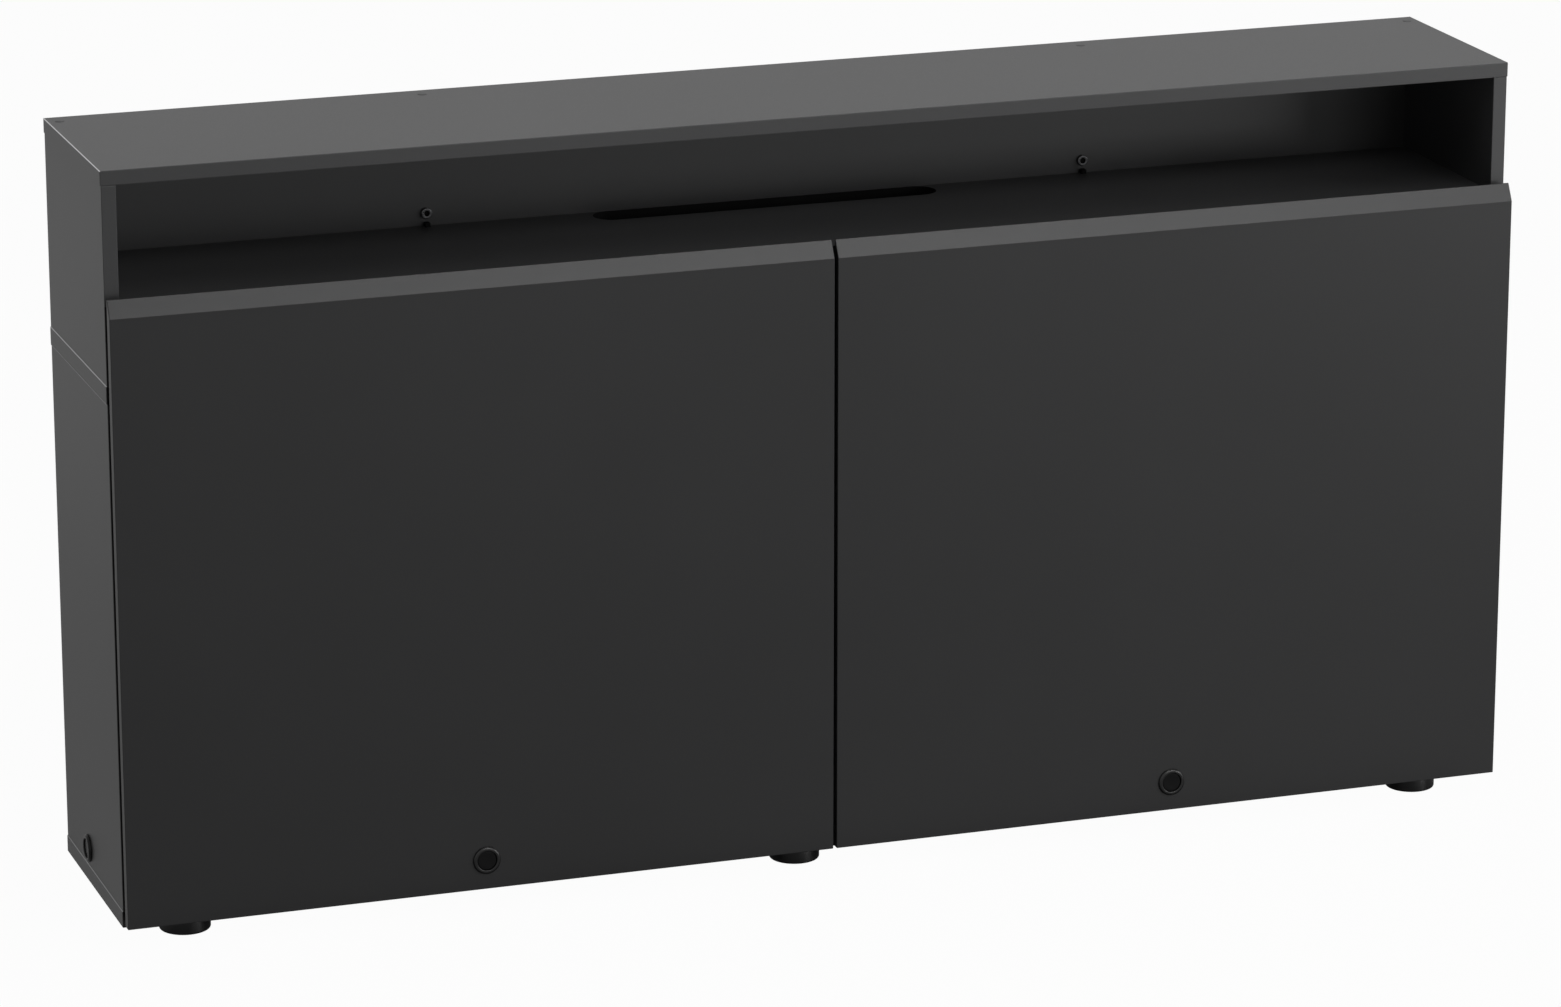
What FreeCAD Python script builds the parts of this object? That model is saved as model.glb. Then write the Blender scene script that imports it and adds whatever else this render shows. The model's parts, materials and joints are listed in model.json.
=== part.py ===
"""Low cabinet on feet: an open niche above two lift-up flaps, with struts, hinges and cable ports."""
import FreeCAD, Part
import math
import os
import re

import Sketcher

DOC = FreeCAD.newDocument("LowCabinet")
SHEET = DOC.addObject("Spreadsheet::Sheet", "Sizes")

# Driving dimensions in millimetres, angles in degrees
SIZES = {
    # carcass
    "width": 1600, "depth": 262, "carcass_height": 830, "foot_height": 21,
    "top_t": 16, "side_t": 16, "bottom_t": 18, "mid_t": 19, "mid_z": 580, "side_inset": 0.8,
    "edge_ease": 0.8, "notch_width": 400, "notch_depth": 45,
    # niche
    "niche_z": 685, "shelf_t": 16, "back_y": 233, "back_t": 16,
    "slot_length": 400, "slot_width": 42, "slot_rear_gap": 1, "liner_t": 1.2, "liner_gap": 0.1,
    "fixing_x": 385, "fixing_z": 774, "fixing_d": 8,
    "ring_d": 12.5, "ring_proud": 4, "ring_rise": 14.2, "ring_shank_d": 6.4, "ring_bore_d": 6.6,
    "ring_socket_d": 5, "ring_socket_floor": 1,
    "block_width": 5.5, "block_height": 4.5, "block_depth": 8,
    # bays
    "panel_y": 244, "panel_t": 6, "divider_t": 16, "divider_set_back": 2,
    "loose_front": 25, "loose_gap": 1.5,
    "pin_d": 5, "pin_bore_d": 5.1, "pin_run": 8, "pin_end_gap": 0.5, "pin_first_z": 144,
    "pin_pitch": 64, "pin_rows": 5, "pin_below": 2, "pin_front_y": 60, "pin_rear_y": 205,
    # flaps
    "flap_gap": 10.5, "flap_t": 12, "flap_low": 5, "flap_high": 695.5, "bevel_depth": 10,
    "bevel_height": 18.5, "centre_gap": 4, "flap_end_inset": 0.5,
    # hinges
    "hinge_z": 689.5, "hinge_length": 70, "hinge_pitch": 280, "knuckles": 5, "knuckle_d": 7,
    "hinge_pin_d": 3.9, "hinge_bore_d": 4, "knuckle_gap": 0.3, "leaf_t": 2, "frame_leaf_height": 15,
    "flap_leaf_height": 34, "hinge_clear": 0.35,
    # struts
    "strut_wall_y": 190, "strut_wall_z": 360, "strut_flap_y": 18, "strut_flap_z": 547,
    "strut_from_wall": 20, "tube_d": 15, "tube_length": 215, "tube_bore_d": 11, "tube_floor": 14, "rod_d": 6,
    "rod_guide_d": 6.16, "guide_length": 10, "piston_d": 10.4, "piston_length": 6, "piston_rest": 1,
    "eye_d": 14, "eye_width": 10, "eye_overlap": 1, "tube_taper": 4, "ear_gap": 3, "stud_end": 1,
    "stud_d": 7.9, "stud_bore_d": 8, "bracket_t": 2.5, "bracket_height": 44, "open_pivot_gap": 0.5,
    # round ports and knobs
    "rim_d": 31, "rim_proud": 3, "rim_round": 1.8, "barrel_d": 24.8, "barrel_hole_d": 25,
    "cup_d": 22, "button_d": 21.4, "button_sunk": 1.5, "barrel_depth": 15, "barrel_floor": 1.5,
    "button_length": 12, "plug_length": 17, "port_z": 38, "port_y": 158, "side_rim_proud": 3.5,
    # feet
    "foot_d": 56, "foot_bevel": 2.5, "foot_x": 723, "foot_centre_x": 27, "foot_front_y": 38,
    "foot_rear_y": 222, "foot_neck_d": 34, "foot_base_h": 11, "socket_gap": 1, "stem_d": 9.8,
    "stem_bore_d": 9.96, "stem_length": 16, "socket_d": 38, "socket_t": 4, "socket_bevel": 2,
    # small fittings
    "cap_d": 9.6, "cap_hole_d": 10, "cap_t": 2, "cap_proud": 0.2, "cap_rear": 21, "cap_corner_x": 787,
    "magnet_width": 34, "magnet_height": 14, "magnet_depth": 14, "magnet_proud": 9.2, "magnet_z": 100,
    "strike_t": 1, "bumper_d": 8, "bumper_t": 10.2, "bumper_z": 45,
    "screw_d": 6.8, "screw_hole_d": 7, "screw_length": 50, "screw_tip": 4, "screw_head_d": 10,
    "screw_head_bore_d": 10.4, "screw_head_t": 4, "screw_head_cone": 1,
    "screw_front_y": 70, "screw_rear_y": 190,
    # cutters
    "bore_extra": 1, "overrun": 1,
}

# Planes that many pieces share, as formulas of the driving dimensions
FRONT = "((flap_gap + flap_t + rim_proud - depth) / 2)"
FLOOR_BOARD = "(foot_height + bottom_t)"
MID_LOW = "(foot_height + mid_z)"
MID_HIGH = "(foot_height + mid_z + mid_t)"
TOP_LOW = "(foot_height + carcass_height - top_t)"
SHELF_HIGH = "(foot_height + niche_z)"
SIDE_INNER = "(width / 2 - side_inset - side_t)"
FLAP_BACK = f"({FRONT} - flap_gap)"
FLAP_FACE = f"({FRONT} - flap_gap - flap_t)"
FLAP_WIDTH = "(width / 2 - flap_end_inset - centre_gap / 2)"
FLAP_CENTRE = "(width / 4 - flap_end_inset / 2 + centre_gap / 4)"
LOOSE_LOW = "(foot_height + pin_first_z + pin_below * pin_pitch + pin_d / 2)"
HINGE_Y = f"({FRONT} - flap_gap / 2)"
HINGE_Z = "(foot_height + hinge_z)"

SIDES = {"left": -1, "right": 1}
ROWS = {"front": "foot_front_y", "rear": "foot_rear_y"}
X_AXIS = FreeCAD.Vector(1, 0, 0)
Y_AXIS = FreeCAD.Vector(0, 1, 0)
Z_AXIS = FreeCAD.Vector(0, 0, 1)

NODES = []


def fill_sheet():
    """Writes each driving dimension as a number in column B, named by its alias."""
    for row, (alias, value) in enumerate(SIZES.items(), start=1):
        SHEET.set(f"A{row}", alias)
        SHEET.set(f"B{row}", str(value))
        SHEET.setAlias(f"B{row}", alias)
    DOC.recompute()


def formula(text):
    """Turns a formula of plain dimension names into one that reads the sheet."""
    return re.sub(r"[a-z]\w*", lambda word: "Sizes." + word.group(0), str(text))


def bind(obj, prop, text):
    obj.setExpression(prop, formula(text))


def place(obj, x, y, z, rotation=None):
    """Turns an object, then ties its position to the sheet."""
    if rotation is not None:
        obj.Placement = FreeCAD.Placement(FreeCAD.Vector(), rotation)
    for axis, text in zip("xyz", (x, y, z)):
        bind(obj, f"Placement.Base.{axis}", text)


def turn(direction):
    """Rotation that lays a piece made along Z in another direction."""
    return FreeCAD.Rotation(Z_AXIS, direction)


def body(name):
    return DOC.addObject("PartDesign::Body", name)


def node(label, obj):
    """Names an object as one of the pieces to be written."""
    obj.Label = label
    NODES.append(obj)
    return obj


def group(label, pieces):
    """One node that holds several separate like solids."""
    compound = DOC.addObject("Part::Compound", label)
    compound.Links = pieces
    return node(label, compound)


def origin_feature(owner, role):
    return next(f for f in owner.Origin.OriginFeatures if f.Role == role)


def outline(owner, plane, corners):
    """Closed straight-sided sketch, each corner held by its two distances from the origin."""
    sketch = owner.newObject("Sketcher::SketchObject", owner.Name + "_outline")
    sketch.AttachmentSupport = [(origin_feature(owner, plane), "")]
    sketch.MapMode = "FlatFace"
    count = len(corners)
    start = []
    for i in range(count):
        angle = 2 * math.pi * i / count
        start.append(FreeCAD.Vector(100 + 50 * math.cos(angle), 100 + 50 * math.sin(angle), 0))
    for i in range(count):
        sketch.addGeometry(Part.LineSegment(start[i], start[(i + 1) % count]), False)
    for i in range(count):
        sketch.addConstraint(Sketcher.Constraint("Coincident", i, 2, (i + 1) % count, 1))
    for i, (across, up) in enumerate(corners):
        for kind, text in (("DistanceX", across), ("DistanceY", up)):
            index = sketch.addConstraint(Sketcher.Constraint(kind, -1, 1, i, 1, 1.0))
            bind(sketch, f"Constraints[{index}]", text)
    return sketch


def pad(owner, sketch, length):
    feature = owner.newObject("PartDesign::Pad", owner.Name + "_pad")
    feature.Profile = sketch
    bind(feature, "Length", length)
    sketch.Visibility = False
    return feature


def ease(owner, feature, radius, edges=None):
    """Rounds the named edges of a feature, or all of them."""
    DOC.recompute()
    names = edges or [f"Edge{i + 1}" for i in range(len(feature.Shape.Edges))]
    fillet = owner.newObject("PartDesign::Fillet", owner.Name + "_ease")
    fillet.Base = (feature, names)
    bind(fillet, "Radius", radius)
    return fillet


def front_rim(feature, radius):
    """Name of a turned piece's foremost circular edge of one radius."""
    DOC.recompute()
    found = []
    for i, edge in enumerate(feature.Shape.Edges):
        if isinstance(edge.Curve, Part.Circle) and abs(edge.Curve.Radius - radius) < 0.01:
            found.append((edge.Curve.Center.z, f"Edge{i + 1}"))
    return [max(found)[1]]


def bore(owner, diameter, length, x, y, z, direction=Z_AXIS):
    """Round hole cut into a body from a point along a direction."""
    hole = owner.newObject("PartDesign::SubtractiveCylinder", owner.Name + "_bore")
    bind(hole, "Radius", f"({diameter}) / 2")
    bind(hole, "Height", length)
    place(hole, x, y, z, turn(direction))
    return hole


def block_cut(owner, size, x, y, z):
    """Square-cornered cut into a body."""
    cut = owner.newObject("PartDesign::SubtractiveBox", owner.Name + "_cut")
    for prop, text in zip(("Length", "Width", "Height"), size):
        bind(cut, prop, text)
    place(cut, x, y, z)
    return cut


def board(label, size, x_centre, y_front, z_low, eased=False):
    """Flat board, sketched in plan from its front edge backwards and padded up."""
    owner = body(label)
    half = f"({size[0]}) / 2"
    corners = [(f"-{half}", 0), (half, 0), (half, size[1]), (f"-{half}", size[1])]
    feature = pad(owner, outline(owner, "XY_Plane", corners), size[2])
    if eased:
        ease(owner, feature, "edge_ease")
    place(owner, x_centre, y_front, z_low)
    return node(label, owner)


def turned(label, profile, x, y, z, direction=Z_AXIS, named=True):
    """Turned piece: a profile of radius against height, revolved about its own axis."""
    owner = body(label)
    sketch = outline(owner, "XZ_Plane", profile)
    revolution = owner.newObject("PartDesign::Revolution", owner.Name + "_turn")
    revolution.Profile = sketch
    revolution.ReferenceAxis = (sketch, ["V_Axis"])
    revolution.Angle = 360
    sketch.Visibility = False
    place(owner, x, y, z, turn(direction))
    return node(label, owner) if named else owner


def solid(kind, name, sizes, x, y, z, direction=Z_AXIS):
    """Plain primitive tied to the sheet."""
    obj = DOC.addObject("Part::" + kind, name)
    for prop, text in sizes.items():
        bind(obj, prop, text)
    place(obj, x, y, z, turn(direction))
    return obj


def box(name, length, width, height, x, y, z):
    return solid("Box", name, {"Length": length, "Width": width, "Height": height}, x, y, z)


def rod(name, diameter, length, x, y, z, direction=Z_AXIS):
    return solid("Cylinder", name, {"Radius": f"({diameter}) / 2", "Height": length}, x, y, z, direction)


def fuse(name, pieces):
    joined = DOC.addObject("Part::MultiFuse", name)
    joined.Shapes = pieces
    joined.Refine = True
    return joined


def cut(name, base, tool):
    result = DOC.addObject("Part::Cut", name)
    result.Base = base
    result.Tool = tool
    return result


def carcass_boards():
    """Top, mid and bottom boards over the full width, with the side panels between them."""
    top = board("top_board", ("width", "depth", "top_t"), 0, FRONT, TOP_LOW, eased=True)
    for x in ("fixing_x", "cap_corner_x"):
        for sign in SIDES.values():
            bore(top, "cap_hole_d", "cap_t", f"{sign} * {x}", "depth - cap_rear", "top_t - cap_t")
    mid = board("mid_board", ("width", "depth", "mid_t"), 0, FRONT, MID_LOW, eased=True)
    block_cut(mid, ("notch_width", "notch_depth", "mid_t"),
              "-notch_width / 2", "back_y - slot_rear_gap - notch_depth", 0)
    bottom = board("bottom_board", ("width", "depth", "bottom_t"), 0, FRONT, "foot_height", eased=True)
    for x in foot_places():
        for y in ROWS.values():
            bore(bottom, "stem_bore_d", "stem_length - socket_t + bore_extra", x, y, 0)
    for x in screw_places():
        for y in ("screw_front_y", "screw_rear_y"):
            bore(bottom, "screw_hole_d", "bottom_t", x, y, 0)
            bore(bottom, "screw_head_bore_d", "screw_head_t", x, y, 0)
    for side, sign in SIDES.items():
        centre = f"{sign} * (width / 2 - side_inset - side_t / 2)"
        board(f"upper_side_{side}", ("side_t", "depth", f"{TOP_LOW} - {MID_HIGH}"),
              centre, FRONT, MID_HIGH, eased=True)
        lower = board(f"lower_side_{side}", ("side_t", "depth", f"{MID_LOW} - {FLOOR_BOARD}"),
                      centre, FRONT, FLOOR_BOARD, eased=True)
        bore(lower, "barrel_hole_d", "side_t", "-side_t / 2", "port_y", "port_z - bottom_t", X_AXIS)
        screw_bores(lower)
        inward = X_AXIS * -sign
        pin_bores(lower, f"{-sign} * (side_t / 2 - pin_run)", inward, "pin_run")


def foot_places():
    """The middle feet stand beside the divider, clear of the screws that run up into it."""
    return ("-foot_x", "-foot_centre_x", "foot_x")


def screw_places():
    side = "(width / 2 - side_inset - side_t / 2)"
    return (f"-{side}", "0", side)


def screw_bores(upright):
    """Holes in an upright's lower end for the screws that come up through the bottom board."""
    for y in ("screw_front_y", "screw_rear_y"):
        bore(upright, "screw_hole_d", "screw_length - bottom_t + bore_extra",
             0, f"{y} - {upright_front(upright)}", 0)


def upright_front(upright):
    """How far an upright's front edge stands behind the carcass front."""
    return "divider_set_back" if upright.Label == "centre_divider" else "0"


def pin_bores(upright, x, direction, depth):
    """Two columns of shelf-pin holes, each a bore repeated upwards."""
    for y in ("pin_front_y", "pin_rear_y"):
        first = bore(upright, "pin_bore_d", depth, x, f"{y} - {upright_front(upright)}",
                     "pin_first_z - bottom_t", direction)
        column = upright.newObject("PartDesign::LinearPattern", upright.Name + "_pins")
        column.Originals = [first]
        column.Direction = (origin_feature(upright, "Z_Axis"), [""])
        bind(column, "Length", "pin_pitch * (pin_rows - 1)")
        bind(column, "Occurrences", "pin_rows")
        upright.Tip = column


def niche():
    """Niche shelf with its cable slot, the back board and what joins them."""
    span = f"2 * {SIDE_INNER}"
    shelf = board("niche_shelf", (span, "back_y", "shelf_t"), 0, FRONT, f"{SHELF_HIGH} - shelf_t")
    straight = "(slot_length - slot_width)"
    slot_y = "back_y - slot_rear_gap - slot_width / 2"
    block_cut(shelf, (straight, "slot_width", "shelf_t"),
              f"-{straight} / 2", f"{slot_y} - slot_width / 2", 0)
    for sign in SIDES.values():
        bore(shelf, "slot_width", "shelf_t", f"{sign} * {straight} / 2", slot_y, 0)
    slot_liner(straight, f"{FRONT} + {slot_y}", f"{SHELF_HIGH} - shelf_t")

    back = board("niche_back_board", (span, "back_t", f"{TOP_LOW} - {MID_HIGH}"),
                 0, f"{FRONT} + back_y", MID_HIGH)
    ring_z = "niche_z + ring_rise - mid_z - mid_t"
    rings = []
    blocks = []
    for side, sign in SIDES.items():
        x = f"{sign} * fixing_x"
        bore(back, "fixing_d", "back_t", x, 0, "fixing_z - mid_z - mid_t", Y_AXIS)
        bore(back, "ring_bore_d", "back_t", x, 0, ring_z, Y_AXIS)
        profile = [("0", "0"), ("ring_shank_d / 2", "0"), ("ring_shank_d / 2", "back_t"),
                   ("ring_d / 2", "back_t"), ("ring_d / 2", "back_t + ring_proud"),
                   ("ring_socket_d / 2", "back_t + ring_proud"),
                   ("ring_socket_d / 2", "back_t + ring_socket_floor"),
                   ("0", "back_t + ring_socket_floor")]
        ring = turned(f"connector_bolt_{side}", profile, x, f"{FRONT} + back_y + back_t",
                      f"{SHELF_HIGH} + ring_rise", -Y_AXIS, named=False)
        ease(ring, ring.Tip, "rim_round / 2", front_rim(ring.Tip, SIZES["ring_d"] / 2))
        rings.append(ring)
        blocks.append(box(f"shelf_block_{side}", "block_width", "block_depth", "block_height",
                          f"{x} - block_width / 2", f"{FRONT} + back_y - block_depth", SHELF_HIGH))
    group("connector_bolts", rings)
    group("shelf_blocks", blocks)
    caps = []
    for number, x in enumerate(("-cap_corner_x", "-fixing_x", "fixing_x", "cap_corner_x")):
        caps.append(rod(f"top_cap_{number}", "cap_d", "cap_t + cap_proud", x, f"{FRONT} + depth - cap_rear",
                        f"{TOP_LOW} + top_t - cap_t"))
    group("top_caps", caps)


def slot_shape(name, straight, width, height, y, z):
    """Upright block with round ends, as long and wide as one of the slot's outlines."""
    pieces = [box(name + "_middle", straight, width, height, f"-{straight} / 2", f"{y} - ({width}) / 2", z)]
    for side, sign in SIDES.items():
        pieces.append(rod(f"{name}_{side}", width, height, f"{sign} * {straight} / 2", y, z))
    return fuse(name, pieces)


def slot_liner(straight, y, z):
    """Thin trim that lines the cable slot through the shelf's thickness."""
    outer = slot_shape("liner_outer", straight, "slot_width - 2 * liner_gap", "shelf_t", y, z)
    inner = slot_shape("liner_inner", straight, "slot_width - 2 * liner_gap - 2 * liner_t",
                       "shelf_t + 2 * overrun", y, f"{z} - overrun")
    node("cable_slot_liner", cut("cable_slot_liner", outer, inner))


def bays():
    """Lower back panel, centre divider, loose shelves on pins and the screws into the uprights."""
    board("lower_back_panel", (f"2 * {SIDE_INNER}", "panel_t", f"{MID_LOW} - {FLOOR_BOARD}"),
          0, f"{FRONT} + panel_y", FLOOR_BOARD)
    divider_size = ("divider_t", "panel_y - divider_set_back", f"{MID_LOW} - {FLOOR_BOARD}")
    divider = board("centre_divider", divider_size, 0, f"{FRONT} + divider_set_back", FLOOR_BOARD)
    screw_bores(divider)
    pin_bores(divider, "-divider_t / 2", X_AXIS, "divider_t")

    bay = f"({SIDE_INNER} - divider_t / 2)"
    bay_centre = f"({SIDE_INNER} / 2 + divider_t / 4)"
    loose_size = (f"{bay} - 2 * loose_gap", "panel_y - loose_front - loose_gap", "shelf_t")
    pins = []
    for side, sign in SIDES.items():
        board(f"loose_shelf_{side}", loose_size,
              f"{sign} * {bay_centre}", f"{FRONT} + loose_front", LOOSE_LOW)
        ends = {"outer": (f"{sign} * ({SIDE_INNER} + pin_run - pin_end_gap)", -sign),
                "inner": (f"{sign} * pin_end_gap", sign)}
        for end, (x, inward) in ends.items():
            for y in ("pin_front_y", "pin_rear_y"):
                pins.append(rod(f"pin_{end}_{side}_{y}", "pin_d", "2 * pin_run", x, f"{FRONT} + {y}",
                                f"{LOOSE_LOW} - pin_d / 2", X_AXIS * inward))
    group("shelf_pins", pins)

    screws = []
    profile = [("0", "0"), ("screw_head_d / 2", "0"),
               ("screw_head_d / 2", "screw_head_t - screw_head_cone"), ("screw_d / 2", "screw_head_t"),
               ("screw_d / 2", "screw_length - screw_tip"),
               ("0", "screw_length")]
    for number, x in enumerate(screw_places()):
        for y in ("screw_front_y", "screw_rear_y"):
            screws.append(turned(f"screw_{number}_{y}", profile, x, f"{FRONT} + {y}", "foot_height",
                                 named=False))
    group("carcass_screws", screws)


def flaps():
    """Front flaps with a steep bevel along their top edge, standing off the carcass by the hinge gap."""
    low = "foot_height + flap_low"
    height = "(flap_high - flap_low)"
    profile = [("0", "0"), ("flap_t", "0"), ("flap_t", height),
               ("bevel_depth", height), ("0", f"{height} - bevel_height")]
    for side, sign in SIDES.items():
        owner = body(f"flap_{side}")
        feature = pad(owner, outline(owner, "YZ_Plane", profile), FLAP_WIDTH)
        ease(owner, feature, "edge_ease")
        middle = f"{FLAP_WIDTH} / 2"
        bore(owner, "barrel_hole_d", "flap_t", middle, 0, "port_z - flap_low", Y_AXIS)
        place(owner, f"{sign} * {FLAP_CENTRE} - {middle}", FLAP_FACE, low)
        node(f"flap_{side}", owner)


def hinge_leaf(name, x_left, plate, knuckles):
    """One leaf: its plate, a tab up to each knuckle, and the knuckles bored for the pin."""
    y_plate, height = plate
    clear = "(knuckle_d / 2 + hinge_clear)"
    pitch = "(hinge_length / knuckles)"
    pieces = [box(name + "_plate", "hinge_length", "leaf_t", height, x_left, y_plate,
                  f"{HINGE_Z} - {clear} - {height}")]
    for index in knuckles:
        x = f"{x_left} + {index} * {pitch} + knuckle_gap / 2"
        length = f"{pitch} - knuckle_gap"
        pieces.append(box(f"{name}_tab{index}", length, "leaf_t", clear,
                          x, y_plate, f"{HINGE_Z} - {clear}"))
        pieces.append(rod(f"{name}_knuckle{index}", "knuckle_d", length, x, HINGE_Y, HINGE_Z, X_AXIS))
    hole = rod(name + "_hole", "hinge_bore_d", "hinge_length + 2 * overrun",
               f"{x_left} - overrun", HINGE_Y, HINGE_Z, X_AXIS)
    return cut(name, fuse(name + "_blank", pieces), hole)


def hinges():
    """Three butt hinges to a flap, in the gap between the niche shelf's front edge and the flap's back."""
    frame_plate = (f"{FRONT} - leaf_t", "frame_leaf_height")
    flap_plate = (FLAP_BACK, "flap_leaf_height")
    pins = []
    for side, sign in SIDES.items():
        frame_leaves = []
        flap_leaves = []
        for step in (-1, 0, 1):
            x_left = f"{sign} * {FLAP_CENTRE} + {step} * hinge_pitch - hinge_length / 2"
            name = f"{side}_hinge_{step + 1}"
            frame_leaves.append(hinge_leaf(f"frame_{name}", x_left, frame_plate, (0, 2, 4)))
            flap_leaves.append(hinge_leaf(f"flap_{name}", x_left, flap_plate, (1, 3)))
            pins.append(rod(f"pin_{name}", "hinge_pin_d", "hinge_length", x_left, HINGE_Y, HINGE_Z, X_AXIS))
        group(f"frame_leaves_{side}", frame_leaves)
        group(f"flap_leaves_{side}", flap_leaves)
    group("hinge_pins", pins)


def closed_strut():
    """Vector along a closed strut, from its wall stud to its flap stud."""
    return FreeCAD.Vector(0, SIZES["strut_flap_y"] - SIZES["strut_wall_y"],
                          SIZES["strut_flap_z"] - SIZES["strut_wall_z"])


def with_eye(label, shank, x, y, z):
    """Ends a strut's tube or rod in a round eye, bored along X for its stud."""
    ring = rod(label + "_eye", "eye_d", "eye_width", f"{x} - eye_width / 2", y, z, X_AXIS)
    hole = rod(label + "_hole", "stud_bore_d", "eye_width + 2 * overrun",
               f"{x} - eye_width / 2 - overrun", y, z, X_AXIS)
    return node(label, cut(label, fuse(label + "_blank", [shank, ring]), hole))


def struts():
    """A gas strut beside each outer wall: wall bracket, tube, rod and flap bracket."""
    way = closed_strut()
    reach = way.Length - SIZES["tube_floor"] - SIZES["piston_rest"]
    start = (f"{FRONT} + strut_wall_y", "foot_height + strut_wall_z")
    end = (f"{FRONT} + strut_flap_y", "foot_height + strut_flap_z")
    brackets = []
    for side, sign in SIDES.items():
        x = f"{sign} * ({SIDE_INNER} - strut_from_wall)"
        wall = f"{sign} * {SIDE_INNER}"
        plate_x = f"{wall} - bracket_t" if sign > 0 else wall
        plate = box(f"wall_plate_{side}", "bracket_t", "bracket_height", "bracket_height / 2", plate_x,
                    f"{start[0]} - bracket_height / 2", f"{start[1]} - bracket_height / 4")
        stud = rod(f"wall_stud_{side}", "stud_d", "strut_from_wall + eye_width / 2 + stud_end", wall,
                   start[0], start[1], X_AXIS * -sign)
        brackets.append(fuse(f"wall_bracket_{side}", [plate, stud]))

        guide_low = "tube_length - guide_length"
        tube_low = "eye_d / 2 - eye_overlap"
        barrel_profile = [("0", tube_low), ("tube_d / 2", f"{tube_low} + tube_taper"),
                          ("tube_d / 2", "tube_length"), ("rod_guide_d / 2", "tube_length"),
                          ("rod_guide_d / 2", guide_low), ("tube_bore_d / 2", guide_low),
                          ("tube_bore_d / 2", "tube_floor"), ("0", "tube_floor")]
        barrel = turned(f"barrel_{side}", barrel_profile, x, *start, way, named=False)
        with_eye(f"strut_tube_{side}", barrel, x, *start)

        rod_profile = [("0", "0"), ("rod_d / 2", "0"), ("rod_d / 2", f"{reach} - piston_length"),
                       ("piston_d / 2", f"{reach} - piston_length"), ("piston_d / 2", reach), ("0", reach)]
        shaft = turned(f"shaft_{side}", rod_profile, x, *end, way * -1, named=False)
        with_eye(f"strut_rod_{side}", shaft, x, *end)
        flap_bracket(side, sign, x, end)
    group("strut_wall_brackets", brackets)


def flap_bracket(side, sign, x, end):
    """Angle bracket on the flap's back; its stud stops just short of the rod's eye."""
    y, z = end
    ear = f"({x} - {sign} * (eye_width / 2 + ear_gap + bracket_t / 2))"
    foot_x = f"{ear} - {sign} * bracket_height / 4"
    foot_plate = box(f"flap_foot_{side}", "bracket_height / 2 + bracket_t", "bracket_t", "bracket_height",
                     f"{foot_x} - bracket_height / 4 - bracket_t / 2", FLAP_BACK,
                     f"{z} - bracket_height / 2")
    ear_plate = box(f"flap_ear_{side}", "bracket_t", f"{y} - {FLAP_BACK} + stud_d", "stud_d * 2",
                    f"{ear} - bracket_t / 2", FLAP_BACK, f"{z} - stud_d")
    stud = rod(f"flap_stud_{side}", "stud_d", "ear_gap - open_pivot_gap",
               f"{ear} + {sign} * bracket_t / 2", y, z, X_AXIS * sign)
    node(f"strut_flap_bracket_{side}", fuse(f"strut_flap_bracket_{side}", [foot_plate, ear_plate, stud]))


def rimmed_sleeve(label, depth, proud, floor, x, y, z, direction, named=True):
    """Sleeve with a rounded rim, seated in a board; the rim stands proud along the direction."""
    inner = [("cup_d / 2", f"{depth} + {proud}"), ("cup_d / 2", floor), ("0", floor), ("0", "0")]
    if floor == "0":
        inner = [("cup_d / 2", f"{depth} + {proud}"), ("cup_d / 2", "0")]
    profile = [("barrel_d / 2", "0"), ("barrel_d / 2", depth), ("rim_d / 2", depth),
               ("rim_d / 2", f"{depth} + {proud}")] + inner
    sleeve = turned(label, profile, x, y, z, direction, named)
    ease(sleeve, sleeve.Tip, "rim_round", front_rim(sleeve.Tip, SIZES["rim_d"] / 2))
    return sleeve


def sunk_disc(label, length, x, y, z, direction):
    """Round slug whose eased face lies a little below the rim round it."""
    profile = [("0", "0"), ("button_d / 2", "0"), ("button_d / 2", length), ("0", length)]
    slug = turned(label, profile, x, y, z, direction)
    ease(slug, slug.Tip, "edge_ease", front_rim(slug.Tip, SIZES["button_d"] / 2))
    return slug


def knobs_and_ports():
    """Pull knob low on each flap and a plugged cable port low on each side."""
    z = "foot_height + port_z"
    bushings = []
    for side, sign in SIDES.items():
        x = f"{sign} * {FLAP_CENTRE}"
        rimmed_sleeve(f"knob_housing_{side}", "barrel_depth", "rim_proud", "barrel_floor",
                      x, f"{FLAP_FACE} + barrel_depth", z, -Y_AXIS)
        sunk_disc(f"knob_button_{side}", "button_length", x,
                  f"{FLAP_FACE} - rim_proud + button_sunk + button_length", z, -Y_AXIS)
        y = f"{FRONT} + port_y"
        outward = X_AXIS * sign
        bushings.append(rimmed_sleeve(f"port_bushing_{side}", "side_t", "side_rim_proud", "0",
                                      f"{sign} * {SIDE_INNER}", y, z, outward, named=False))
        face = "(width / 2 - side_inset + side_rim_proud - button_sunk)"
        sunk_disc(f"port_plug_{side}", "plug_length", f"{sign} * ({face} - plug_length)", y, z, outward)
    group("port_bushings", bushings)


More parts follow.
